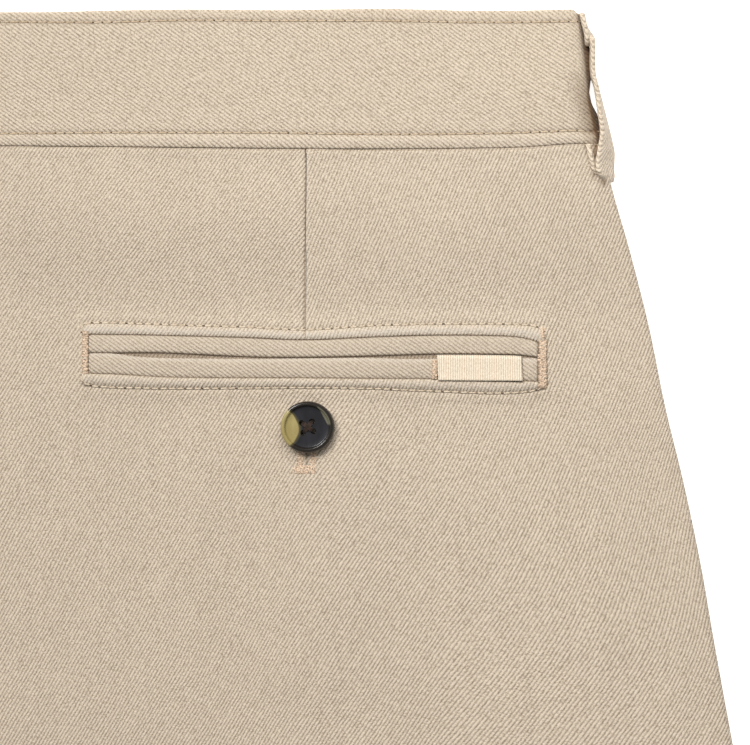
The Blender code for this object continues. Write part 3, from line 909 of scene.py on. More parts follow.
def white_noise(tree, value):
    """A number of its own for each whole value."""
    return add_node(tree, "ShaderNodeTexWhiteNoise", {"W": value}, noise_dimensions="1D").outputs["Value"]


def split(tree, vector):
    """X and Y of a place."""
    parts = add_node(tree, "ShaderNodeSeparateXYZ", {0: vector})
    return parts.outputs["X"], parts.outputs["Y"]


def grain_place(tree):
    """Place in the cloth as it was woven, in millimetres."""
    return add_node(tree, "ShaderNodeUVMap", uv_map=GRAIN).outputs[0]


# Painted shade up to 1, painted highlight and rubbed wear below 0, as each piece laid them
def painted_light_and_wear_level(tree):
    return add_node(tree, "ShaderNodeAttribute", attribute_name=PAINTED_LIGHT_AND_WEAR).outputs["Fac"]


def new_group(name, inputs, outputs):
    """Start a node group with named sockets."""
    group = bpy.data.node_groups.new(name, "ShaderNodeTree")
    for socket, kind in inputs:
        group.interface.new_socket(socket, in_out="INPUT", socket_type=kind)
    for socket, kind in outputs:
        group.interface.new_socket(socket, in_out="OUTPUT", socket_type=kind)
    start = group.nodes.new("NodeGroupInput")
    end = group.nodes.new("NodeGroupOutput")
    return group, start.outputs, end


COLOUR = "NodeSocketColor"
VALUE = "NodeSocketFloat"
VECTOR = "NodeSocketVector"
PAINTED_SHADE_TINT = (0.23, 0.155, 0.095, 1.0)      # painted shade: what a shade mark multiplies the cloth's colour by
# Painted highlight and rubbed wear: the pale colour that negative marks mix in
HIGHLIGHT_AND_RUB_TINT = (0.52, 0.485, 0.43, 1.0)
LIT_STITCH = (0.78, 0.68, 0.54, 1.0)
HOLE_SHADE = (0.10, 0.062, 0.035, 1.0)
HORN_RIM = (0.016, 0.012, 0.009, 1.0)
HORN_BROWN = (0.075, 0.062, 0.026, 1.0)
TAB_RIB = 0.64            # millimetres from rib to rib
TAPE_RIB = 0.8


def line_noise(tree, along_line, index, scale):
    """Noise that runs along each twill line on its own."""
    spot = add_node(
        tree, "ShaderNodeCombineXYZ",
        {0: calc(tree, "MULTIPLY", along_line, scale), 1: calc(tree, "MULTIPLY", index, 7.31)},
    )
    return noise_level(tree, spot.outputs[0], 1.0, 1.0)


def twill_group():
    """Slanting raised lines of yarn, a little wavy, with broken crests and grainy valleys; the valleys'
    darker colour is painted shade between the lines.
    """
    if "twill_weave" in bpy.data.node_groups:
        return bpy.data.node_groups["twill_weave"]
    group, given, end = new_group(
        "twill_weave",
        (
            ("Cloth place", VECTOR), ("Yarn", COLOUR), ("Valley shade", COLOUR), ("Spacing", VALUE),
            ("Angle", VALUE),
        ),
        (("Color", COLOUR), ("Height", VALUE)),
    )
    spot = given["Cloth place"]
    turned = add_node(
        group, "ShaderNodeVectorRotate",
        {"Vector": spot, "Angle": calc(group, "MULTIPLY", given["Angle"], -1.0)}, rotation_type="Z_AXIS",
    )
    along_line, over_lines = split(group, turned.outputs[0])
    wander = calc(group, "MULTIPLY", noise_level(group, spot, 0.04), 1.3)
    wobble = calc(group, "MULTIPLY", noise_level(group, spot, 0.34, 1.0), 0.30)
    across = calc(group, "ADD", over_lines, calc(group, "ADD", wander, wobble))
    phase = calc(group, "DIVIDE", across, given["Spacing"])
    index = calc(group, "FLOOR", phase)
    wave = calc(group, "COSINE", calc(group, "MULTIPLY", phase, FULL_TURN))
    crest = calc(group, "POWER", calc(group, "MULTIPLY_ADD", wave, -0.5, 0.5), 0.62)
    beads = line_noise(group, along_line, index, 1.75)
    streak = line_noise(group, along_line, index, 0.22)
    dashes = line_noise(group, along_line, calc(group, "ROUND", phase), 1.1)
    grit = noise_level(group, spot, 2.9, 2.0)
    body = calc(group, "MULTIPLY_ADD", beads, 2.3, calc(group, "MULTIPLY_ADD", streak, 0.3, -0.30))
    dashed = calc(group, "MULTIPLY_ADD", dashes, 2.0, -0.7)
    gap = calc(group, "MULTIPLY", calc(group, "SUBTRACT", 1.0, crest), dashed)
    level = calc(group, "MULTIPLY_ADD", crest, body, gap)
    level = calc(group, "ADD", level, calc(group, "MULTIPLY_ADD", grit, 2.3, -1.15), clamp=True)
    # Painted shade: the valley colour darkens the cloth between the raised lines
    colour = blend(group, level, given["Valley shade"], given["Yarn"])
    slub = noise_level(group, scaled(group, spot, (0.9, 0.025, 1.0)), 1.0)
    mottle = noise_level(group, spot, 0.03)
    shade = calc(group, "MULTIPLY_ADD", slub, 0.10, calc(group, "MULTIPLY_ADD", mottle, 0.08, 0.91))
    grey = add_node(group, "ShaderNodeCombineColor", {0: shade, 1: shade, 2: shade})
    colour = blend(group, 1.0, colour, grey.outputs[0], "MULTIPLY")
    height = calc(group, "MULTIPLY", crest, calc(group, "MULTIPLY_ADD", beads, 1.3, 0.25))
    height = calc(group, "MULTIPLY_ADD", grit, 0.8, height)
    fill_inputs(group, end, {"Color": colour, "Height": height})
    return group


def new_material(name):
    material = bpy.data.materials.new(name)
    material.use_nodes = True
    return material, material.node_tree, material.node_tree.nodes["Principled BSDF"]


def once(build):
    """Build a material when it is first asked for, and give the same one from then on."""
    def given(name, *values, **options):
        return bpy.data.materials.get(name) or build(name, *values, **options)
    return given


def tinted(colour, *factors):
    """A colour with its channels times one factor, or times a factor each."""
    factors *= 3 // len(factors)
    return [channel * factor for channel, factor in zip(colour, factors)] + [1.0]


def set_finish(tree, shader, colour, roughness, sheen=0.0, specular=0.5):
    """Set what a piece does with light; colour is plain or a node's result."""
    fill_inputs(tree, shader, {
        "Base Color": colour, "Roughness": roughness, "Sheen Weight": sheen, "Sheen Roughness": 0.5,
        "Specular IOR Level": specular,
    })


def bump(tree, shader, height, distance):
    node = add_node(tree, "ShaderNodeBump", {"Strength": 1.0, "Distance": distance, "Height": height})
    tree.links.new(node.outputs[0], shader.inputs["Normal"])


@once
def twill_material(name, cloth, lightness=1.0, softness=0.0):
    """Twill that follows the piece's own grain, with painted shade in folds, seams and recesses and painted
    highlight on ridges; softness pales the painted shade in its valleys.
    """
    material, tree, shader = new_material(name)
    valley_shade = [mix(low, high, softness) for low, high in zip(cloth.valley_shade, cloth.yarn)]
    weave = add_node(tree, "ShaderNodeGroup", node_tree=twill_group())
    fill_inputs(tree, weave, {
        "Cloth place": grain_place(tree), "Yarn": tinted(cloth.yarn, lightness),
        "Valley shade": tinted(valley_shade, lightness), "Spacing": cloth.spacing / MM, "Angle": cloth.angle,
    })
    painted_light_and_wear = painted_light_and_wear_level(tree)
    # Painted shade mixes in a darker copy of the twill's colour
    painted_shade_colour = blend(tree, 1.0, weave.outputs["Color"], PAINTED_SHADE_TINT, "MULTIPLY")
    colour = blend(tree, painted_light_and_wear, weave.outputs["Color"], painted_shade_colour)
    # Negative marks mix in the pale colour and flatten the twill: painted highlight, with rubbed wear on the
    # pocket rolls
    painted_highlight_and_rub = calc(tree, "MULTIPLY", painted_light_and_wear, -0.8, clamp=True)
    flat = calc(tree, "MULTIPLY_ADD", painted_highlight_and_rub, -0.8, 1.0)
    bump(tree, shader, calc(tree, "MULTIPLY", weave.outputs["Height"], flat), cloth.relief)
    set_finish(tree, shader, blend(tree, painted_highlight_and_rub, colour, HIGHLIGHT_AND_RUB_TINT), 0.88, sheen=0.12, specular=0.25)
    return material


@once
def thread_material(name, colour, hole, pale=0.35, end=0.07):
    """Twisted sewing thread: along the grain a stitch is one unit long, with painted shade where it goes in
    and a painted highlight on some stitches.
    """
    material, tree, shader = new_material(name)
    run, turn = split(tree, grain_place(tree))
    off_middle = calc(tree, "ABSOLUTE", calc(tree, "SUBTRACT", calc(tree, "FRACT", run), 0.5))
    from_end = calc(tree, "SUBTRACT", 0.5, off_middle)
    stitch = white_noise(tree, calc(tree, "FLOOR", run))
    needle = white_noise(tree, calc(tree, "ROUND", run))
    twist = calc(tree, "MULTIPLY_ADD", run, 34.0, calc(tree, "MULTIPLY", turn, FULL_TURN))
    strand = calc(tree, "MULTIPLY_ADD", calc(tree, "SINE", twist), 0.5, 0.5)
    base = blend(tree, strand, tinted(colour, 0.62), tuple(colour))
    lit = blend(tree, calc(tree, "MULTIPLY", stitch, pale), base, LIT_STITCH)
    # Painted shade at the needle holes, where each stitch dives into the cloth
    deep = calc(tree, "MULTIPLY_ADD", needle, 0.55, 0.45)
    sunk = calc(tree, "SUBTRACT", 1.0, ramp(tree, from_end, end, 2.0 * end))
    sewn = blend(tree, calc(tree, "MULTIPLY", sunk, deep), lit, tuple(hole))
    bump(tree, shader, strand, 0.00004)
    set_finish(tree, shader, sewn, 0.6, sheen=0.1, specular=0.4)
    return material


@once
def satin_material(name, colour, cloth):
    """Zigzag stitches side by side, as in bar tacks and buttonholes, with cloth between them."""
    material, tree, shader = new_material(name)
    grain = grain_place(tree)
    strands = noise_level(tree, scaled(tree, grain, (1.3, 3.4, 1.0)), 1.0, 1.0)
    specks = noise_level(tree, scaled(tree, grain, (2.3, 2.3, 1.0)), 1.0, 1.0)
    bare = noise_level(tree, scaled(tree, grain, (1.1, 1.7, 1.0)), 1.0, 1.0)
    base = blend(tree, ramp(tree, strands, 0.36, 0.52), tinted(colour, 0.42), tuple(colour))
    base = blend(tree, ramp(tree, specks, 0.50, 0.62), base, tinted(colour, 1.55))
    base = blend(tree, ramp(tree, bare, 0.60, 0.68), base, tuple(cloth))
    base = blend(tree, calc(tree, "MULTIPLY", painted_light_and_wear_level(tree), 0.9), base, HOLE_SHADE)
    bump(tree, shader, calc(tree, "ADD", strands, specks), 0.00020)
    set_finish(tree, shader, base, 0.62, sheen=0.1, specular=0.4)
    return material


@once
def tab_material(name, colour):
    """Ribbed woven tape: ribs run down it, crossed by fine threads."""
    material, tree, shader = new_material(name)
    grain = grain_place(tree)
    drift = calc(tree, "MULTIPLY", noise_level(tree, grain, 0.7, 1.0), 2.0)
    across = split(tree, grain)[0]
    ribs = calc(tree, "SINE", calc(tree, "MULTIPLY_ADD", across, FULL_TURN / TAB_RIB, drift))
    specks = noise_level(tree, scaled(tree, grain, (2.6, 1.4, 1.0)), 1.0, 2.0)
    weave = calc(tree, "MULTIPLY_ADD", ribs, 0.36, calc(tree, "MULTIPLY_ADD", specks, 1.2, -0.1))
    level = calc(tree, "ADD", weave, 0.0, clamp=True)
    bump(tree, shader, weave, 0.00010)
    woven = blend(tree, level, tinted(colour, 0.66, 0.58, 0.50), tuple(colour))
    set_finish(tree, shader, woven, 0.7, sheen=0.1, specular=0.35)
    return material


@once
def tape_material(name, colour):
    """Tape of a zip, with ribs along it."""
    material, tree, shader = new_material(name)
    across = split(tree, grain_place(tree))[0]
    ribs = calc(tree, "SINE", calc(tree, "MULTIPLY", across, FULL_TURN / TAPE_RIB))
    level = calc(tree, "MULTIPLY_ADD", ribs, 0.5, 0.5)
    bump(tree, shader, level, 0.00006)
    set_finish(tree, shader, blend(tree, level, tinted(colour, 0.7), tuple(colour)), 0.85, specular=0.3)
    return material


@once
def horn_material(name, trim):
    """Polished horn: dark, with a pale and an olive streak and faint clouds."""
    material, tree, shader = new_material(name)
    grain = grain_place(tree)
    x, y = split(tree, grain)
    cloud = noise_level(tree, scaled(tree, grain, (0.30, 0.12, 1.0)), 1.0, 3.0)
    soft = calc(tree, "MULTIPLY_ADD", cloud, 1.2, -0.6)
    lower = calc(tree, "ADD", y, 0.4)
    bow = calc(tree, "MULTIPLY", calc(tree, "MULTIPLY", lower, lower), 0.095)
    edge = calc(tree, "ADD", calc(tree, "ADD", x, bow), soft)
    streak = calc(tree, "SUBTRACT", 1.0, ramp(tree, edge, -2.75, -2.25))
    brown = calc(tree, "SUBTRACT", 1.0, ramp(tree, edge, -2.4, -1.3))
    slant = calc(tree, "MULTIPLY_ADD", y, 0.464, calc(tree, "MULTIPLY", x, 0.885))
    slant = calc(tree, "MULTIPLY_ADD", soft, 0.4, slant)
    olive = calc(tree, "MULTIPLY", ramp(tree, slant, 5.2, 5.5), ramp(tree, y, 0.3, 1.2))
    reach = add_node(tree, "ShaderNodeVectorMath", {0: grain}, operation="LENGTH").outputs["Value"]
    inside = calc(tree, "SUBTRACT", 1.0, ramp(tree, reach, 6.3, 6.9))
    base = blend(tree, ramp(tree, cloud, 0.35, 0.75), tuple(trim.horn), tinted(trim.horn, 1.8))
    base = blend(tree, ramp(tree, reach, 5.6, 6.3), base, HORN_RIM)
    base = blend(tree, calc(tree, "MULTIPLY", olive, inside), base, tuple(trim.olive_horn))
    base = blend(tree, brown, base, HORN_BROWN)
    warm = tinted(trim.pale_horn, 0.80, 0.76, 0.66)
    pale = blend(tree, ramp(tree, cloud, 0.3, 0.7), warm, tuple(trim.pale_horn))
    bump(tree, shader, noise_level(tree, grain, 1.4, 2.0), 0.00003)
    set_finish(tree, shader, blend(tree, streak, base, pale), 0.28, specular=0.35)
    shader.inputs["Coat Weight"].default_value = 0.3
    shader.inputs["Coat Roughness"].default_value = 0.12
    return material


# Sewing

STITCH_STEPS = 6
THREAD_SIDES = 6
STRAND_PITCH = 0.34       # millimetres from strand to strand in a bar tack
STRAND_STEPS = 3
SATIN_SIDES = 8


def measure(points):
    """Running length at each point of a path."""
    run = [0.0]
    for first, second in zip(points, points[1:]):
        run.append(run[-1] + (Vector(second) - Vector(first)).length)
    return run


def resample(points, values, count):
    """Read what a path has at its points at even distances along it."""
    run = measure(points)
    even = []
    segment = 0
    for step in range(count + 1):
        target = run[-1] * step / count
        while segment < len(points) - 2 and run[segment + 1] < target:
            segment += 1
        share = (target - run[segment]) / (run[segment + 1] - run[segment])
        even.append(Vector(values[segment]).lerp(Vector(values[segment + 1]), share))
    return even


def add_thread(shape, points, outs, pitch, width, draw):
    """Sew a row of stitches along a path of places; outs point away from the cloth."""
    count = max(2, round(measure(points)[-1] / pitch))
    steps = count * STITCH_STEPS
    spots = resample(points, points, steps)
    facing = resample(points, outs, steps)
    slants = [draw.uniform(0.02, 0.10) for _ in range(count + 1)]
    lifts = [draw.uniform(0.85, 1.1) for _ in range(count + 1)]

    def point(column, row):
        before = spots[max(column - 1, 0)]
        after = spots[min(column + 1, steps)]
        out = facing[column].normalized()
        run = (after - before).normalized()
        side = run.cross(out).normalized()
        stitch, step = divmod(column, STITCH_STEPS)
        share = step / STITCH_STEPS
        hump = math.sin(math.pi * share) ** 0.6
        radius = width / 2.0 * (1.15 - 0.2 * hump)
        angle = FULL_TURN * row / THREAD_SIDES
        sideways = slants[stitch] * (2.0 * share - 1.0) * (1.0 if step else 0.0)
        rise = 0.02 - 0.04 * (1.0 - hump) + 0.10 * hump * lifts[stitch]
        spot = spots[column] + side * (sideways + radius * math.sin(angle))
        spot = spot + out * (rise + radius * 0.8 * math.cos(angle))
        return tuple(spot), (stitch + share, row / THREAD_SIDES), 0.0

    add_grid(shape, steps, THREAD_SIDES, point)


def sew(name, rows, pitch, width, material, seed):
    """Join rows of stitches, each a (points, outs) pair, in one piece."""
    draw = random.Random(seed)
    shape = open_shape()
    for points, outs in rows:
        add_thread(shape, points, outs, pitch, width, draw)
    return finish_shape(shape, name, material, "twill", closed=True)


def on_back(route, lifted=0.0):
    """Turn (x, down) points into a row on the back's outer face."""
    points = [(x, down, shell_top(x, down) + lifted) for x, down in route]
    return points, [(0.0, 0.0, 1.0)] * len(points)


def on_front(route):
    """Turn (x, down) points into a row sunk in the front's outer face, which lies on the ground."""
    points = [(x, down, lift(down) + 0.3) for x, down in route]
    return points, [(0.0, 0.0, -1.0)] * len(points)


def add_satin(shape, surface, seed, x_from, x_to, down_from, down_to, dome, strands_down, holes):
    """A block of zigzag strands, side by side down it or else across it.

    holes is the end of the strands that has needle holes, 0 or 1, or None.
    """
    length = abs(down_to - down_from) if strands_down else abs(x_to - x_from)
    count = max(6, round(length / STRAND_PITCH))
    draw = random.Random(seed)
    ragged = []
    for _ in range(count + 1):
        ragged.append((draw.uniform(-0.16, 0.16), draw.uniform(-0.16, 0.16), draw.uniform(0.6, 1.2)))
    steps = count * STRAND_STEPS

    def point(column, row):
        first, second, tall = ragged[min(column // STRAND_STEPS, count)]
        share = row / SATIN_SIDES
        run = column / steps
        ripple = math.sin(math.pi * (column % STRAND_STEPS + 0.5) / STRAND_STEPS)
        body = (1.0 - abs(2.0 * share - 1.0) ** 3) * (1.0 - abs(2.0 * run - 1.0) ** 10)
        if strands_down:
            down = mix(down_from, down_to, run)
            x = mix(x_from + first, x_to + second, share)
            grain = (x, down)
        else:
            x = mix(x_from, x_to, run)
            down = mix(down_from + first, down_to + second, share)
            grain = (down, x)
        height = surface(x, down) - 0.12 + body * (dome + 0.14 * ripple * tall)
        # Painted shade at the end of the strands that has needle holes
        mark = 0.0 if holes is None else bell(share - holes, 0.16 * tall) * smooth(tall, 0.65, 0.85)
        return (x, down, height), grain, mark

    add_grid(shape, steps, SATIN_SIDES, point)


def bar_tack(name, blocks, surface, material):
    """Join blocks of strands, as in POCKET_TACKS, in one piece."""
    shape = open_shape()
    for number, block in enumerate(blocks):
        add_satin(shape, surface, 31 + number, *block)
    bmesh.ops.recalc_face_normals(shape, faces=shape.faces)
    return finish_shape(shape, name, material, "twill", wall=0.15)


# Operators

class SHORTS_OT_backs(bpy.types.Operator):
    """Sew the two back panels with dart, pocket rolls and hem"""

    bl_idname = "shorts.backs"
    bl_label = "Back Panels"

    def execute(self, context):
        lay_panels(context, "back", BACK_COLUMNS, BACK_ROWS)
        return {"FINISHED"}


class SHORTS_OT_fronts(bpy.types.Operator):
    """Sew the two front panels, which lie on the ground"""

    bl_idname = "shorts.fronts"
    bl_label = "Front Panels"

    def execute(self, context):
        lay_panels(context, "front", FRONT_COLUMNS, FRONT_ROWS)
        return {"FINISHED"}


class SHORTS_OT_waistband(bpy.types.Operator):
    """Fold the waistband round from fly to fly"""

    bl_idname = "shorts.waistband"
    bl_label = "Waistband"

    def execute(self, context):
        material = twill_material("chino_twill", context.scene.shorts_cloth)
        profile = band_profile()

        def point(column, row):
            down, inset = profile[row]
            spot, run, facing = ring_spot(column, down, inset)
            height = spot[2] + ring_wave(run, down, facing)
            return (spot[0], spot[1], height), band_grain(run, down), waistband_mark(down, facing, spot)

        lay_cloth(
            "waistband_cloth", RING_COLUMNS, len(profile) - 1, point, material, closed=True,
            replaces=("waistband_back", "waistband_front_right", "waistband_front_left"),
        )
        return {"FINISHED"}


WELT_SECTION = (          # share of the way from under the rolled edge to the fold at the slit, height
    (0.0, -0.35), (0.05, 0.05), (0.12, 0.28), (0.25, 0.44), (0.45, 0.52), (0.65, 0.54), (0.80, 0.50),
    (0.90, 0.40), (0.96, 0.20), (1.0, -0.20), (1.0, -0.60),
)
WELT_COLUMNS = ((71.4, 72.4, 4), (72.4, 196.0, 72), (196.0, 197.3, 4))
TAB_COLUMNS = 60
TAB_ROWS = 18


class SHORTS_OT_pockets(bpy.types.Operator):
    """Set the welts into the back pockets, and the woven tab into the right one"""

    bl_idname = "shorts.pockets"
    bl_label = "Back Pockets"

    def execute(self, context):
        # A darker copy of the cloth for the welts: painted shade where they lie sunk between the rolled
        # edges; softness pales the painted shade in the twill's valleys
        material = twill_material("welt_twill", context.scene.shorts_cloth, 0.92, 0.30)
        for side, word in SIDES:
            self.welt(f"pocket_welt_upper_{word}", side, TOP_EDGE, SLIT_ABOVE, -1.0, material)
            self.welt(f"pocket_welt_lower_{word}", side, FOOT_EDGE, SLIT_BELOW, 1.0, material)
        self.tab(tab_material("woven_tab_cloth", context.scene.shorts_trim.tab))
        return {"FINISHED"}

    def welt(self, node, side, hidden_line, slit_line, outward, material):
        """A folded strip from under the rolled edge to its fold at the slit."""
        columns = spread(WELT_COLUMNS)

        def point(column, row):
            across = columns[column]
            share, height = WELT_SECTION[row]
            start = along(POCKET_LINES, across, hidden_line) + outward * 0.35
            down = mix(start, along(POCKET_LINES, across, slit_line), share)
            tuck = 0.6 * (smooth(across, 196.3, 197.3) + fade(across, 71.4, 72.2))
            wave = 0.05 * noise.noise(Vector((across / 7.0, down / 3.0, side)))
            x = side * across
            # Painted highlight along the lower welt's fold at the slit, painted shade along the upper welt's
            # fold and where each welt tucks under its rolled edge
            fold = -0.45 * bell(share - 0.93, 0.05) if outward > 0.0 else 0.75 * smooth(share, 0.93, 1.0)
            mark = fold + 0.6 * fade(share, 0.04, 0.14)
            return (x, down, back_top(x, down) + height + wave - tuck), band_grain(x, down), mark

        lay_cloth(
            f"{node}_cloth", len(columns) - 1, len(WELT_SECTION) - 1, point, material,
            replaces=(node,), flip=(outward > 0.0) != (side < 0.0), wall=0.5,
        )

    def tab(self, material):
        """A strip of tape from the slit to below the lower welt."""
        low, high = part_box("pocket_tab")

        def point(column, row):
            share = column / TAB_COLUMNS
            fall = row / TAB_ROWS
            x = mix(low.x / MM, high.x / MM, share)
            top = along(POCKET_LINES, x, SLIT_ABOVE) + 0.12
            down = mix(top, down_of(low.y) + 0.15 * share, fall)
            x += 0.5 * fall * (1.0 - share) + 0.3 * fall * share
            x += 0.06 * math.sin(FULL_TURN * fall * 6.0) * smooth(abs(share - 0.5), 0.485, 0.5)
            curl = 0.22 * smooth(share, 0.8, 1.0) + 0.10 * smooth(fall, 0.7, 1.0)
            tuck = 0.9 * fade(fall, 0.0, 0.09)
            return (x, down, back_top(x, down) + 1.02 + curl - tuck), (x, down), 0.0

        lay_cloth(
            "pocket_tab_woven", TAB_COLUMNS, TAB_ROWS, point, material, "woven_tab",
            replaces=("pocket_tab",), wall=0.4,
        )


SIDE_LOOP = (             # down; the strap's middle x and height, its turn from lying flat, width, slant
    (6.9, 211.9, 4.9, 82.0, 5.6, 0.0), (7.6, 212.1, 4.9, 84.0, 8.0, 0.0),
    (9.6, 212.2, 4.9, 87.0, 8.6, 0.0), (14.0, 212.1, 4.9, 89.0, 8.6, 0.0),
    (18.0, 212.35, 4.9, 89.0, 8.6, 0.0), (20.1, 213.05, 4.9, 87.0, 8.6, 0.0),
    (24.6, 214.0, 5.0, 82.5, 8.6, 0.0), (28.8, 214.83, 5.1, 78.0, 8.8, 0.0),
    (34.1, 215.83, 5.2, 72.0, 9.0, 0.05), (38.5, 216.0, 5.3, 60.5, 9.2, 0.1),
    (42.7, 215.65, 5.3, 58.0, 9.6, 0.15), (45.2, 215.75, 5.3, 57.5, 9.6, 0.18),
    (46.3, 215.9, 5.2, 60.0, 8.6, 0.2), (46.9, 215.8, 5.1, 60.0, 7.0, 0.22),
    (47.2, 215.7, 5.0, 60.0, 4.0, 0.24),
)
LOOP_NECK = (             # the piece above the knot, up to the band's top edge
    (0.5, 209.3, 5.6, 84.0, 6.4, 0.0), (1.2, 209.4, 5.6, 84.0, 7.4, 0.0),
    (4.0, 210.05, 5.6, 84.0, 7.6, 0.0), (5.8, 210.8, 5.5, 79.0, 7.6, -0.1),
    (7.2, 211.3, 5.4, 74.0, 7.6, -0.2), (8.2, 211.3, 5.2, 74.0, 7.0, -0.25),
    (8.9, 211.2, 5.0, 76.0, 5.6, -0.25), (9.3, 211.1, 5.0, 78.0, 3.0, -0.25),
)
LOOP_TAIL = (             # the end that turns back under and is caught in the waist seam
    (37.0, 210.9, 6.7, 78.0, 2.4, 0.0), (38.6, 211.5, 6.6, 73.0, 3.4, 0.0),
    (41.0, 212.2, 6.3, 69.0, 4.4, 0.0), (43.5, 212.9, 5.9, 66.0, 4.8, 0.1),
    (45.2, 213.6, 5.4, 62.0, 5.2, 0.2), (46.4, 214.4, 4.8, 58.0, 4.8, 0.3),
)
BACK_LOOP = (             # down, height of the strap's outer face
    (1.0, 10.0), (8.0, 10.3), (20.0, 10.8), (34.0, 10.9), (40.0, 10.5), (47.0, 9.6),
)
LOOP_WALL = 1.6
LOOP_WIDTH = 10.0
LOOP_FRONT_X = 105.0
STRAP_SIDES = 20


def strap(name, stations, material, *replaced):
    """A folded strap through stations of (centre, direction of its width, direction out of it, width)."""
    run = measure([station[0] for station in stations])

    def point(column, row):
        centre, wide, out, width = stations[column]
        angle = FULL_TURN * row / STRAP_SIDES
        across = width / 2.0 * math.copysign(abs(math.cos(angle)) ** 0.4, math.cos(angle))
        thick = LOOP_WALL / 2.0 * math.copysign(abs(math.sin(angle)) ** 0.7, math.sin(angle))
        spot = Vector(centre) + Vector(wide) * across + Vector(out) * thick
        return tuple(spot), (across + 0.8 * math.sin(angle), run[column]), 0.0

    lay_cloth(
        f"{name}_cloth", len(stations) - 1, STRAP_SIDES, point, material, replaces=replaced, closed=True,
    )


def flat_stations(x, height):
    """Stations of a loop that lies flat over the waistband; height(down) is its middle's."""
    downs = spread(((1.0, 3.0, 5), (3.0, 44.0, 30), (44.0, 47.0, 5)))
    return [((x, down, height(down)), (1.0, 0.0, 0.0), (0.0, 0.0, 1.0), LOOP_WIDTH) for down in downs]


def side_stations(side, table, count):
    """Stations of a loop that stands on its edge at the side."""
    stations = []
    for down in spread(((table[0][0], table[-1][0], count),)):
        turn = math.radians(along(table, down, 3))
        wide = (-side * math.cos(turn), -along(table, down, 5), math.sin(turn))
        out = (side * math.sin(turn), 0.0, math.cos(turn))
        spot = (side * along(table, down, 1), down, along(table, down, 2))
        stations.append((spot, wide, out, along(table, down, 4)))
    return stations


class SHORTS_OT_belt_loops(bpy.types.Operator):
    """Lay the belt loops over the waistband: one behind, two at the sides, two in front"""

    bl_idname = "shorts.belt_loops"
    bl_label = "Belt Loops"

    def execute(self, context):
        # A lighter copy of the cloth for the belt loops: painted light on the straps
        cloth = twill_material("loop_cloth", context.scene.shorts_cloth, 1.14)
        over = flat_stations(0.0, lambda down: along(BACK_LOOP, down) - LOOP_WALL / 2.0)
        strap("belt_loop_back", over, cloth, "belt_loop_back")
        for side, word in SIDES:
            node = f"belt_loop_side_{word}"
            strap(node, side_stations(side, SIDE_LOOP, 60), cloth, node)
            strap(f"{node}_neck", side_stations(side, LOOP_NECK, 16), cloth)
            strap(f"{node}_tail", side_stations(side, LOOP_TAIL, 20), cloth)
            node = f"belt_loop_front_{word}"
            under = flat_stations(side * LOOP_FRONT_X, lambda down: FRONT_LIFT - 0.35 - LOOP_WALL / 2.0)
            strap(node, under, cloth, node)
        return {"FINISHED"}


BUTTON_SECTION = (        # share of the radius, share of the height, from the face's middle round the rim
    (0.0, 0.66), (0.3, 0.66), (0.6, 0.66), (0.77, 0.662), (0.8, 0.69), (0.818, 0.78), (0.83, 0.90),
    (0.84, 0.97), (0.855, 1.0), (0.90, 1.0), (0.94, 0.975), (0.965, 0.92), (0.985, 0.83), (1.0, 0.66),
    (1.0, 0.50), (0.97, 0.30), (0.88, 0.12), (0.78, 0.02), (0.70, 0.0), (0.0, 0.0),
)
BUTTON_FACE = 0.66        # height of the sunk face, as a share
BUTTON_HOLE_RADIUS = 0.82
BUTTON_HOLE_REACH = 1.44 * math.sqrt(2.0)  # from the middle to a hole
BUTTON_TURN = math.radians(8.5)
BUTTON_LEAN = 0.22        # how far the face leans to the left, against the height
BUTTON_OVAL = 0.96
STRAND_OFFS = (-0.43, -0.15, 0.15, 0.43)   # the threads lie side by side from hole to hole
STRAND_RADIUS = 0.19
STRAND_COLUMNS = 14


def hole_angle(hole):
    """Direction from a button's middle to one of its four holes."""
    return BUTTON_TURN + math.radians(45.0 + 90.0 * hole)


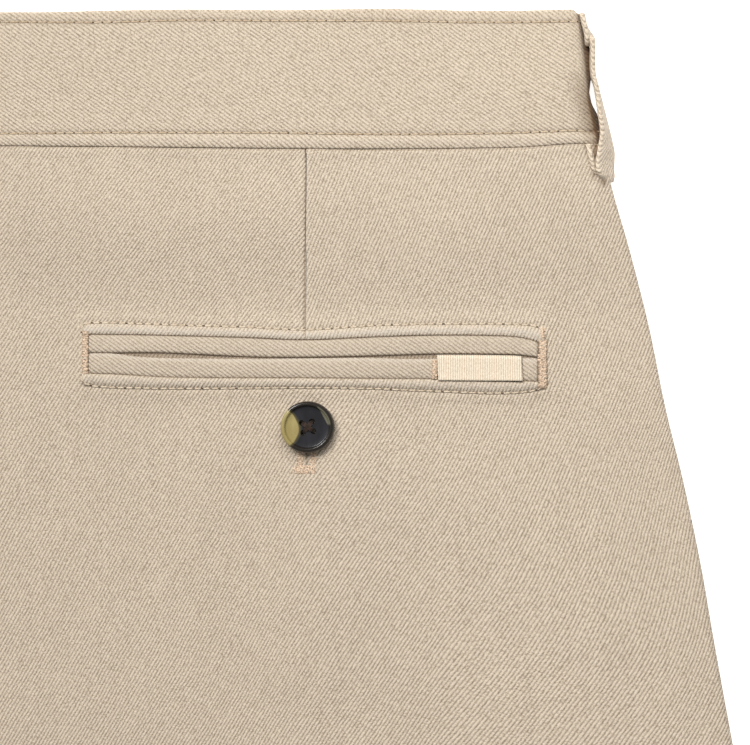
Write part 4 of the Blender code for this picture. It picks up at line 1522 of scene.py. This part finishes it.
class SHORTS_OT_buttons(bpy.types.Operator):
    """Turn the horn buttons and sew them on with crossed threads"""

    bl_idname = "shorts.buttons"
    bl_label = "Buttons"

    def execute(self, context):
        trim = context.scene.shorts_trim
        horn = horn_material("button_horn_polished", trim)
        thread = thread_material("button_thread", trim.button_thread, trim.button_thread, pale=0.0)
        for node in ("pocket_button_right", "pocket_button_left", "waist_button"):
            low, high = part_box(node)
            face_down = node == "waist_button"
            self.button(node, low, high, horn, face_down)
            self.cross(node, low, high, thread, face_down)
        return {"FINISHED"}

    def button(self, node, low, high, material, face_down):
        """Turn a button, drill its holes and set it in its place."""
        centre = (low + high) / 2.0
        drilled = self.drilled(node, (high.x - low.x) / 2.0, high.z - low.z)
        shape = open_shape()
        shape.from_mesh(drilled)
        laid = shape.verts.layers.float_vector.get(LAID) or shape.verts.layers.float_vector.new(LAID)
        for vert in shape.verts:
            vert[laid] = (vert.co.x / MM, vert.co.y / MM, 0.0)
            vert.co.y *= BUTTON_OVAL
            if face_down:
                vert.co.z = -vert.co.z
            else:
                vert.co.x -= BUTTON_LEAN * vert.co.z
            vert.co += centre
        built = finish_shape(
            shape, f"{node}_horn", material, "button_horn", replaces=(node,), flip=face_down,
        )
        built.data.set_sharp_from_angle(angle=math.radians(50.0))

    def drilled(self, node, radius, tall):
        """Cut four holes out of the turned blank, and return its mesh."""
        blank = new_object(f"{node}_blank", self.turned(f"{node}_blank", radius, tall))
        drills = new_object(f"{node}_drills", self.drills(f"{node}_drills", 3.0 * tall))
        cut = blank.modifiers.new("holes", "BOOLEAN")
        cut.operation = "DIFFERENCE"
        cut.object = drills
        bpy.context.view_layer.update()
        graph = bpy.context.evaluated_depsgraph_get()
        mesh = bpy.data.meshes.new_from_object(blank.evaluated_get(graph))
        bpy.data.objects.remove(blank)
        bpy.data.objects.remove(drills)
        return mesh

    def turned(self, name, radius, tall):
        """Spin the button's section round its middle."""
        shape = open_shape()
        places = [(radius * share, 0.0, tall * (level - 0.5)) for share, level in BUTTON_SECTION]
        verts = [shape.verts.new(spot) for spot in places]
        edges = [shape.edges.new(pair) for pair in zip(verts, verts[1:])]
        bmesh.ops.spin(
            shape, geom=verts + edges, cent=(0.0, 0.0, 0.0), axis=(0.0, 0.0, 1.0), dvec=(0.0, 0.0, 0.0),
            angle=FULL_TURN, steps=72, use_merge=True,
        )
        bmesh.ops.remove_doubles(shape, verts=shape.verts, dist=MERGE)
        bmesh.ops.recalc_face_normals(shape, faces=shape.faces)
        return new_mesh(shape, name)

    def drills(self, name, depth):
        """Four rods where the holes go."""
        shape = bmesh.new()
        for hole in range(4):
            angle = hole_angle(hole)
            rod = bmesh.ops.create_cone(
                shape, cap_ends=True, segments=20, radius1=BUTTON_HOLE_RADIUS * MM,
                radius2=BUTTON_HOLE_RADIUS * MM, depth=depth,
            )["verts"]
            reach = BUTTON_HOLE_REACH * MM
            bmesh.ops.translate(
                shape, verts=rod, vec=(reach * math.cos(angle), reach * math.sin(angle), 0.0),
            )
        return new_mesh(shape, name)

    def cross(self, node, low, high, material, face_down):
        """Thread from each hole over the middle to the hole across, laid side by side."""
        centre = (low + high) / 2.0
        middle = Vector((centre.x / MM, down_of(centre.y), centre.z / MM))
        face = (high.z - low.z) / MM * (BUTTON_FACE - 0.5)
        facing = -1.0 if face_down else 1.0
        shape = open_shape()
        for pair in range(2):
            for off in STRAND_OFFS:
                self.strand(shape, middle, hole_angle(pair), off, face + 0.22 * pair, facing)
        finish_shape(shape, f"{node}_thread", material, "button_horn", closed=True)

    def strand(self, shape, middle, angle, off, face, facing):
        """One thread that rises from a hole, crosses the face and dives into the hole across."""
        run = Vector((math.cos(angle), -math.sin(angle), 0.0))
        side = Vector((math.sin(angle), math.cos(angle), 0.0))

        def point(column, row):
            share = 2.0 * column / STRAND_COLUMNS - 1.0
            rise = face + 0.30 - 1.3 * abs(share) ** 4
            turn = FULL_TURN * row / THREAD_SIDES
            centre = middle + run * (BUTTON_HOLE_REACH * share) + side * off * (1.0 - 0.35 * share ** 4)
            spot = centre + side * (STRAND_RADIUS * math.sin(turn))
            spot.z += facing * (rise + STRAND_RADIUS * math.cos(turn))
            return tuple(spot), (0.3 + 0.4 * column / STRAND_COLUMNS, row / THREAD_SIDES), 0.0

        add_grid(shape, STRAND_COLUMNS, THREAD_SIDES, point)


POCKET_TURNS = (          # first (x, down) of the two rows round a pocket, the line they follow, and last
    (
        [(69.5, 89.6), (69.7, 88.0), (70.6, 87.1), (71.8, 86.9)], TOP_STITCH,
        [(197.4, 88.2), (198.6, 89.4)],
    ),
    (
        [(69.3, 101.2), (69.5, 102.9), (70.5, 103.9), (71.8, 104.2)], FOOT_STITCH,
        [(197.2, 105.3), (198.4, 104.3)],
    ),
)
POCKET_RUN = (73.0, 195.6, 80)             # from, to, number of the points between
FLY_STITCH_TOP = 39.5     # the J shaped rows on the front start here,
FLY_X = -38.0             # run down at this x,
FLY_BEND = 165.0          # bend here,
FLY_DROP = 34.0           # fall by this much more,
FLY_END_X = -2.0          # and end here


class SHORTS_OT_stitching(bpy.types.Operator):
    """Top stitch the waistband, pockets, hems, fly and slant pockets"""

    bl_idname = "shorts.stitching"
    bl_label = "Top Stitching"

    def execute(self, context):
        sewing = context.scene.shorts_sewing
        width = sewing.thread_width / MM
        waist = thread_material("waist_thread", sewing.waist_thread, sewing.needle_hole_shade)
        pocket = thread_material("pocket_thread", sewing.pocket_thread, sewing.needle_hole_shade, end=0.11)
        pitch = sewing.waist_pitch / MM
        rows = [self.ring_row(down) for down in (TOP_ROW, FOOT_ROW)]
        sew("waistband_stitching", rows, pitch, width, waist, 3)
        pitch = sewing.pocket_pitch / MM
        for side, word in SIDES:
            rows = [on_back(self.pocket_route(side, *turns)) for turns in POCKET_TURNS]
            sew(f"pocket_stitching_{word}", rows, pitch, 1.3 * width, pocket, 5)
        pitch = sewing.hem_pitch / MM
        for side, word in SIDES:
            rows = [on_back(self.hem_route(side), 0.1), on_front(self.hem_route(side))]
            sew(f"hem_stitching_{word}", rows, pitch, width, waist, 7)
            rows = [on_front(self.slant_route(side, off)) for off in (4.0, 9.0)]
            sew(f"slant_pocket_stitching_{word}", rows, pitch, width, waist, 11)
        sew("fly_stitching", [on_front(self.fly_route(off)) for off in (0.0, 5.0)], pitch, width, waist, 13)
        return {"FINISHED"}

    def ring_row(self, down):
        """The row runs round the whole waistband, from fly to fly."""
        points = []
        outs = []
        for column in range(RING_COLUMNS + 1):
            spot, run, facing = ring_spot(column, down, 0.0)
            inner = ring_spot(column, down, 0.5)[0]
            sunk = 0.5 * smooth(abs(spot[0]), 209.5, 211.5) * facing * smooth(down, 20.0, 30.0)
            points.append((spot[0], spot[1], spot[2] + ring_wave(run, down, facing) - sunk))
            outs.append((Vector(spot) - Vector(inner)).normalized())
        return points, outs

    def pocket_route(self, side, first, row, last):
        """Along the top or the foot of the opening, turning into the tacks at its ends."""
        run = [(across, along(POCKET_LINES, across, row)) for across in spread((POCKET_RUN,))]
        return [(side * across, down) for across, down in first + run + last]

    def hem_route(self, side):
        """Across a leg from seam to seam, along the slanting hem."""
        row_down = HEM_INNER - HEM_STITCH
        fan = (row_down - HEM_FAN_FROM) / (HEM_INNER - HEM_FAN_FROM)
        route = []
        for share in spread(((0.0, 1.0, 60),)):
            down = row_down - HEM_SLANT * fan * share
            inner = along(INNER_EDGE, down) + 2.0
            outer = along(OUTER_EDGE, down) - 2.0
            route.append((side * mix(inner, outer, share), down))
        return route

    def slant_route(self, side, off):
        """Beside the edge of a front pocket."""
        return [(side * (slant_x(down) - off), down) for down in spread(((*SLANT_POCKET, 40),))]

    def fly_route(self, off):
        """Down the front and round to the centre seam, like a J."""
        bend = FLY_BEND - off
        count = round((bend - FLY_STITCH_TOP) / 6.0)
        route = [(FLY_X + off, down) for down in spread(((FLY_STITCH_TOP, bend, count),))]
        for share in spread(((0.0, 1.0, 12),))[1:]:
            angle = QUARTER * share
            reach = FLY_END_X - FLY_X - off
            route.append((FLY_END_X - reach * math.cos(angle), bend + (FLY_DROP - off) * math.sin(angle)))
        return route


POCKET_TACKS = (          # x from, to, down from, to, height, strands run down, end with needle holes
    (69.7, 71.4, 89.2, 101.0, 0.30, True, 1.0),
    (197.5, 199.2, 88.0, 91.9, 0.16, True, None),
    (196.9, 199.4, 91.7, 105.2, 0.28, True, 0.0),
)
BUTTONHOLE = (
    (129.4, 131.7, 119.0, 126.8, 0.22, True, None),
    (133.0, 135.3, 119.0, 126.6, 0.22, True, None),
    (128.3, 135.1, 126.4, 129.3, 0.26, False, None),
)


class SHORTS_OT_tacks(bpy.types.Operator):
    """Sew bar tacks at the pockets and beside the woven tab, and the buttonholes below the pockets"""

    bl_idname = "shorts.tacks"
    bl_label = "Bar Tacks"

    def execute(self, context):
        sewing = context.scene.shorts_sewing
        material = satin_material("tack_thread", sewing.tack, context.scene.shorts_cloth.yarn)
        for side, word in SIDES:
            bar_tack(f"pocket_tacks_{word}", self.on_side(side, POCKET_TACKS), self.tack_top, material)
            bar_tack(f"buttonhole_{word}", self.on_side(side, BUTTONHOLE), shell_top, material)
        low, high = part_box("pocket_tab")
        edge = low.x / MM
        blocks = [(edge - 1.2, edge + 0.1, down_of(high.y) + 1.3, down_of(low.y) - 0.4, 0.2, True, None)]
        bar_tack("tab_tack", blocks, lambda x, down: back_top(x, down) + 0.62, material)
        return {"FINISHED"}

    def on_side(self, side, blocks):
        return [(side * x_from, side * x_to, *rest) for x_from, x_to, *rest in blocks]

    def tack_top(self, x, down):
        """The outer tacks bridge the rolled edges and the welts between them."""
        if abs(x) < 190.0:
            return shell_top(x, down)
        bridged = smooth(down, 90.8, 91.8) * fade(down, 103.0, 104.6)
        return mix(shell_top(x, down), back_top(x, down) + 0.42, bridged)


FLY_GAP_UNDER = 1.8       # height of the fly's layers over the front's outer face
FLY_TOP = 42.0
ZIP_MIDDLE = -3.0
ZIP_SLIDER = (46.0, 6.0, 7.0, 1.1)         # down; wide, long, tall
ZIP_STOP = (5.0, 3.0, 0.9)                 # wide, long, tall
ZIP_STOP_UP = 8.0         # from the end of the tape
TEETH_FROM = 52.0
TOOTH_PITCH = 1.9
TOOTH = (2.8, 0.75, 0.55)
STRIP_COLUMNS = 16
STRIP_ROWS = 60


class SHORTS_OT_fly(bpy.types.Operator):
    """Lay the closed zip and its shield inside the front"""

    bl_idname = "shorts.fly"
    bl_label = "Fly"

    def execute(self, context):
        shield = twill_material("chino_twill", context.scene.shorts_cloth)
        tape = tape_material("zip_tape_cloth", context.scene.shorts_trim.zip_tape)
        self.strip("fly_shield", "fly_shield_cloth", shield, "twill")
        self.strip("fly_zip", "fly_zip_tape", tape, "zip_tape")
        self.teeth(context.scene.shorts_trim.zip_teeth)
        return {"FINISHED"}

    def strip(self, node, name, material, slot):
        """A flat strip of cloth along the centre seam, which follows the front."""
        low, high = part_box(node)

        def point(column, row):
            share = column / STRIP_COLUMNS
            fall = row / STRIP_ROWS
            x = mix(low.x / MM, high.x / MM, share)
            down = mix(FLY_TOP, down_of(low.y), fall)
            down -= 3.0 * abs(2.0 * share - 1.0) ** 6 * smooth(fall, 0.7, 1.0)
            wave = 0.1 * noise.noise(Vector((x / 9.0, down / 14.0, 7.0)))
            return (x, down, lift(down) + FLY_GAP_UNDER + 0.85 + wave), (x, -down), 0.0

        lay_cloth(name, STRIP_COLUMNS, STRIP_ROWS, point, material, slot, replaces=(node,), wall=0.75)

    def teeth(self, colour):
        """Two rows of teeth that mesh, closed by a slider at the top and a stop at the bottom."""
        material, tree, shader = new_material("zip_teeth_polished")
        set_finish(tree, shader, tuple(colour), 0.35)
        shader.inputs["Metallic"].default_value = 0.9
        bump(tree, shader, noise_level(tree, grain_place(tree), 1.1), 0.00002)
        bottom = down_of(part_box("fly_zip")[0].y)
        blocks = [(ZIP_MIDDLE, *ZIP_SLIDER), (ZIP_MIDDLE, bottom - ZIP_STOP_UP, *ZIP_STOP)]
        count = int((bottom - TEETH_FROM - 10.0) / TOOTH_PITCH)
        for step in range(count):
            for side in (-1.0, 1.0):
                down = TEETH_FROM + TOOTH_PITCH * (step + 0.25 * side)
                blocks.append((ZIP_MIDDLE + side * 1.1, down, *TOOTH))
        shape = open_shape()
        laid = shape.verts.layers.float_vector[LAID]
        for x, down, wide, long, tall in blocks:
            height = lift(down) + FLY_GAP_UNDER + 0.8 + tall / 2.0
            for vert in bmesh.ops.create_cube(shape, size=1.0)["verts"]:
                spot = (x + vert.co.x * wide, down + vert.co.y * long, height + vert.co.z * tall)
                vert.co = place(*spot)
                vert[laid] = spot
        bmesh.ops.reverse_faces(shape, faces=shape.faces)
        built = finish_shape(shape, "fly_zip_teeth", material, "zip_tape")
        built.data.shade_flat()


def panel_area():
    """Flat area of a back or front panel between its seams, its waist seam and its slanting hem."""
    area = 0.0
    step = 2.0
    down = WAIST_SEAM
    while down < HEM_INNER:
        width = along(OUTER_EDGE, down) - along(INNER_EDGE, down)
        left = min(1.0, (HEM_INNER - down) / HEM_SLANT)
        area += width * left * step
        down += step
    return area * MM * MM


class SHORTS_OT_cuts(bpy.types.Operator):
    """Work out a panel's flat area and list the pieces sewn on; neither is kept"""

    bl_idname = "shorts.cuts"
    bl_label = "Flat Cuts"

    def execute(self, context):
        area = panel_area()
        for side, word in SIDES:
            sewn = [f"pocket_welt_upper_{word}_cloth", f"pocket_welt_lower_{word}_cloth"]
            sewn += [f"pocket_tacks_{word}", f"buttonhole_{word}", f"pocket_stitching_{word}"]
            sewn += [f"hem_stitching_{word}", f"pocket_button_{word}_horn", f"pocket_button_{word}_thread"]
            if word == "right":
                sewn += ["pocket_tab_woven", "tab_tack"]
            sewn = [f"slant_pocket_stitching_{word}"]
            if word == "left":
                sewn.append("fly_stitching")
        loops = ["belt_loop_back", "belt_loop_side_right", "belt_loop_side_left"]
        loops += ["belt_loop_front_right", "belt_loop_front_left"]
        sewn = [f"{loop}_cloth" for loop in loops] + ["waistband_stitching", "waist_button_horn"]
        sewn += ["waist_button_thread"]
        sewn += [f"belt_loop_side_{word}_{part}_cloth" for side, word in SIDES for part in ("neck", "tail")]
        return {"FINISHED"}


class SHORTS_OT_stage(bpy.types.Operator):
    """Set up the floor, the light and the camera above the right back pocket"""

    bl_idname = "shorts.stage"
    bl_label = "Stage"

    def execute(self, context):
        stage = context.scene.shorts_stage
        self.floor(stage)
        self.light(stage)
        data = bpy.data.cameras.new("camera")
        data.lens = stage.lens
        data.sensor_width = 36.0
        data.clip_start = 0.01
        camera = new_object("camera", data)
        height = stage.view_width * stage.lens / data.sensor_width
        camera.location = (stage.view_x, stage.view_y, CAD_HIGH.z * 0.5 + height)
        context.scene.camera = camera
        context.scene.view_settings.view_transform = "Standard"
        return {"FINISHED"}

    def floor(self, stage):
        shape = bmesh.new()
        bmesh.ops.create_grid(shape, x_segments=4, y_segments=4, size=4.0)
        bmesh.ops.translate(shape, verts=shape.verts, vec=(0.0, 0.0, -0.0003))
        mesh = new_mesh(shape, "floor")
        material, tree, shader = new_material("floor_paper")
        coordinates = add_node(tree, "ShaderNodeTexCoord")
        speck = noise_level(tree, coordinates.outputs["Object"], 12.0)
        paper = blend(tree, speck, tinted(stage.floor, 0.985), tuple(stage.floor))
        set_finish(tree, shader, paper, 0.9, specular=0.1)
        shader.inputs["Emission Color"].default_value = (1.0, 1.0, 1.0, 1.0)
        shader.inputs["Emission Strength"].default_value = stage.glow
        mesh.materials.append(material)
        new_object("floor", mesh)

    def light(self, stage):
        world = bpy.data.worlds.new("studio")
        world.use_nodes = True
        sky = world.node_tree.nodes["Background"]
        sky.inputs["Color"].default_value = (1.0, 0.99, 0.97, 1.0)
        sky.inputs["Strength"].default_value = stage.fill
        bpy.context.scene.world = world
        sun = bpy.data.lights.new("key", "SUN")
        sun.energy = stage.key
        sun.angle = math.radians(20.0)
        sun.color = (1.0, 0.985, 0.96)
        self.aim(sun, Vector((-0.38, 0.48, 0.79)), Vector())
        lamp = bpy.data.lights.new("side", "AREA")
        lamp.shape = "SQUARE"
        lamp.size = 0.35
        lamp.energy = stage.side
        self.aim(lamp, Vector((0.21, 0.46, 0.42)), Vector((0.17, 0.12, 0.0))).visible_glossy = False

    def aim(self, data, location, target):
        light = new_object(data.name, data)
        light.location = location
        light.rotation_euler = (location - target).to_track_quat("Z", "Y").to_euler()
        return light


class SHORTS_PT_sidebar(bpy.types.Panel):
    """Lists the pieces of the shorts"""

    bl_idname = "SHORTS_PT_sidebar"
    bl_label = "Chino Shorts"
    bl_space_type = "VIEW_3D"
    bl_region_type = "UI"
    bl_category = "Shorts"

    def draw(self, context):
        for settings in ("shorts_cloth", "shorts_sewing", "shorts_trim", "shorts_stage"):
            box = self.layout.box()
            group = getattr(context.scene, settings)
            for name in group.bl_rna.properties.keys():
                if name not in ("rna_type", "name"):
                    box.prop(group, name)
        for operator in OPERATORS:
            self.layout.operator(operator.bl_idname)


SETTINGS = (
    ("shorts_cloth", ClothSettings), ("shorts_sewing", SewingSettings), ("shorts_trim", TrimSettings),
    ("shorts_stage", StageSettings),
)
OPERATORS = (
    SHORTS_OT_backs, SHORTS_OT_fronts, SHORTS_OT_waistband, SHORTS_OT_pockets, SHORTS_OT_belt_loops,
    SHORTS_OT_buttons, SHORTS_OT_stitching, SHORTS_OT_tacks, SHORTS_OT_fly, SHORTS_OT_cuts, SHORTS_OT_stage,
)


def register():
    for name, settings in SETTINGS:
        bpy.utils.register_class(settings)
        setattr(bpy.types.Scene, name, bpy.props.PointerProperty(type=settings))
    for operator in OPERATORS:
        bpy.utils.register_class(operator)
    bpy.utils.register_class(SHORTS_PT_sidebar)


def unregister():
    bpy.utils.unregister_class(SHORTS_PT_sidebar)
    for operator in reversed(OPERATORS):
        bpy.utils.unregister_class(operator)
    for name, settings in reversed(SETTINGS):
        delattr(bpy.types.Scene, name)
        bpy.utils.unregister_class(settings)


def main():
    register()
    bpy.ops.shorts.backs()
    bpy.ops.shorts.fronts()
    bpy.ops.shorts.waistband()
    bpy.ops.shorts.pockets()
    bpy.ops.shorts.belt_loops()
    bpy.ops.shorts.buttons()
    bpy.ops.shorts.stitching()
    bpy.ops.shorts.tacks()
    bpy.ops.shorts.fly()
    bpy.ops.shorts.cuts()
    bpy.ops.shorts.stage()


if __name__ == "__main__":
    main()
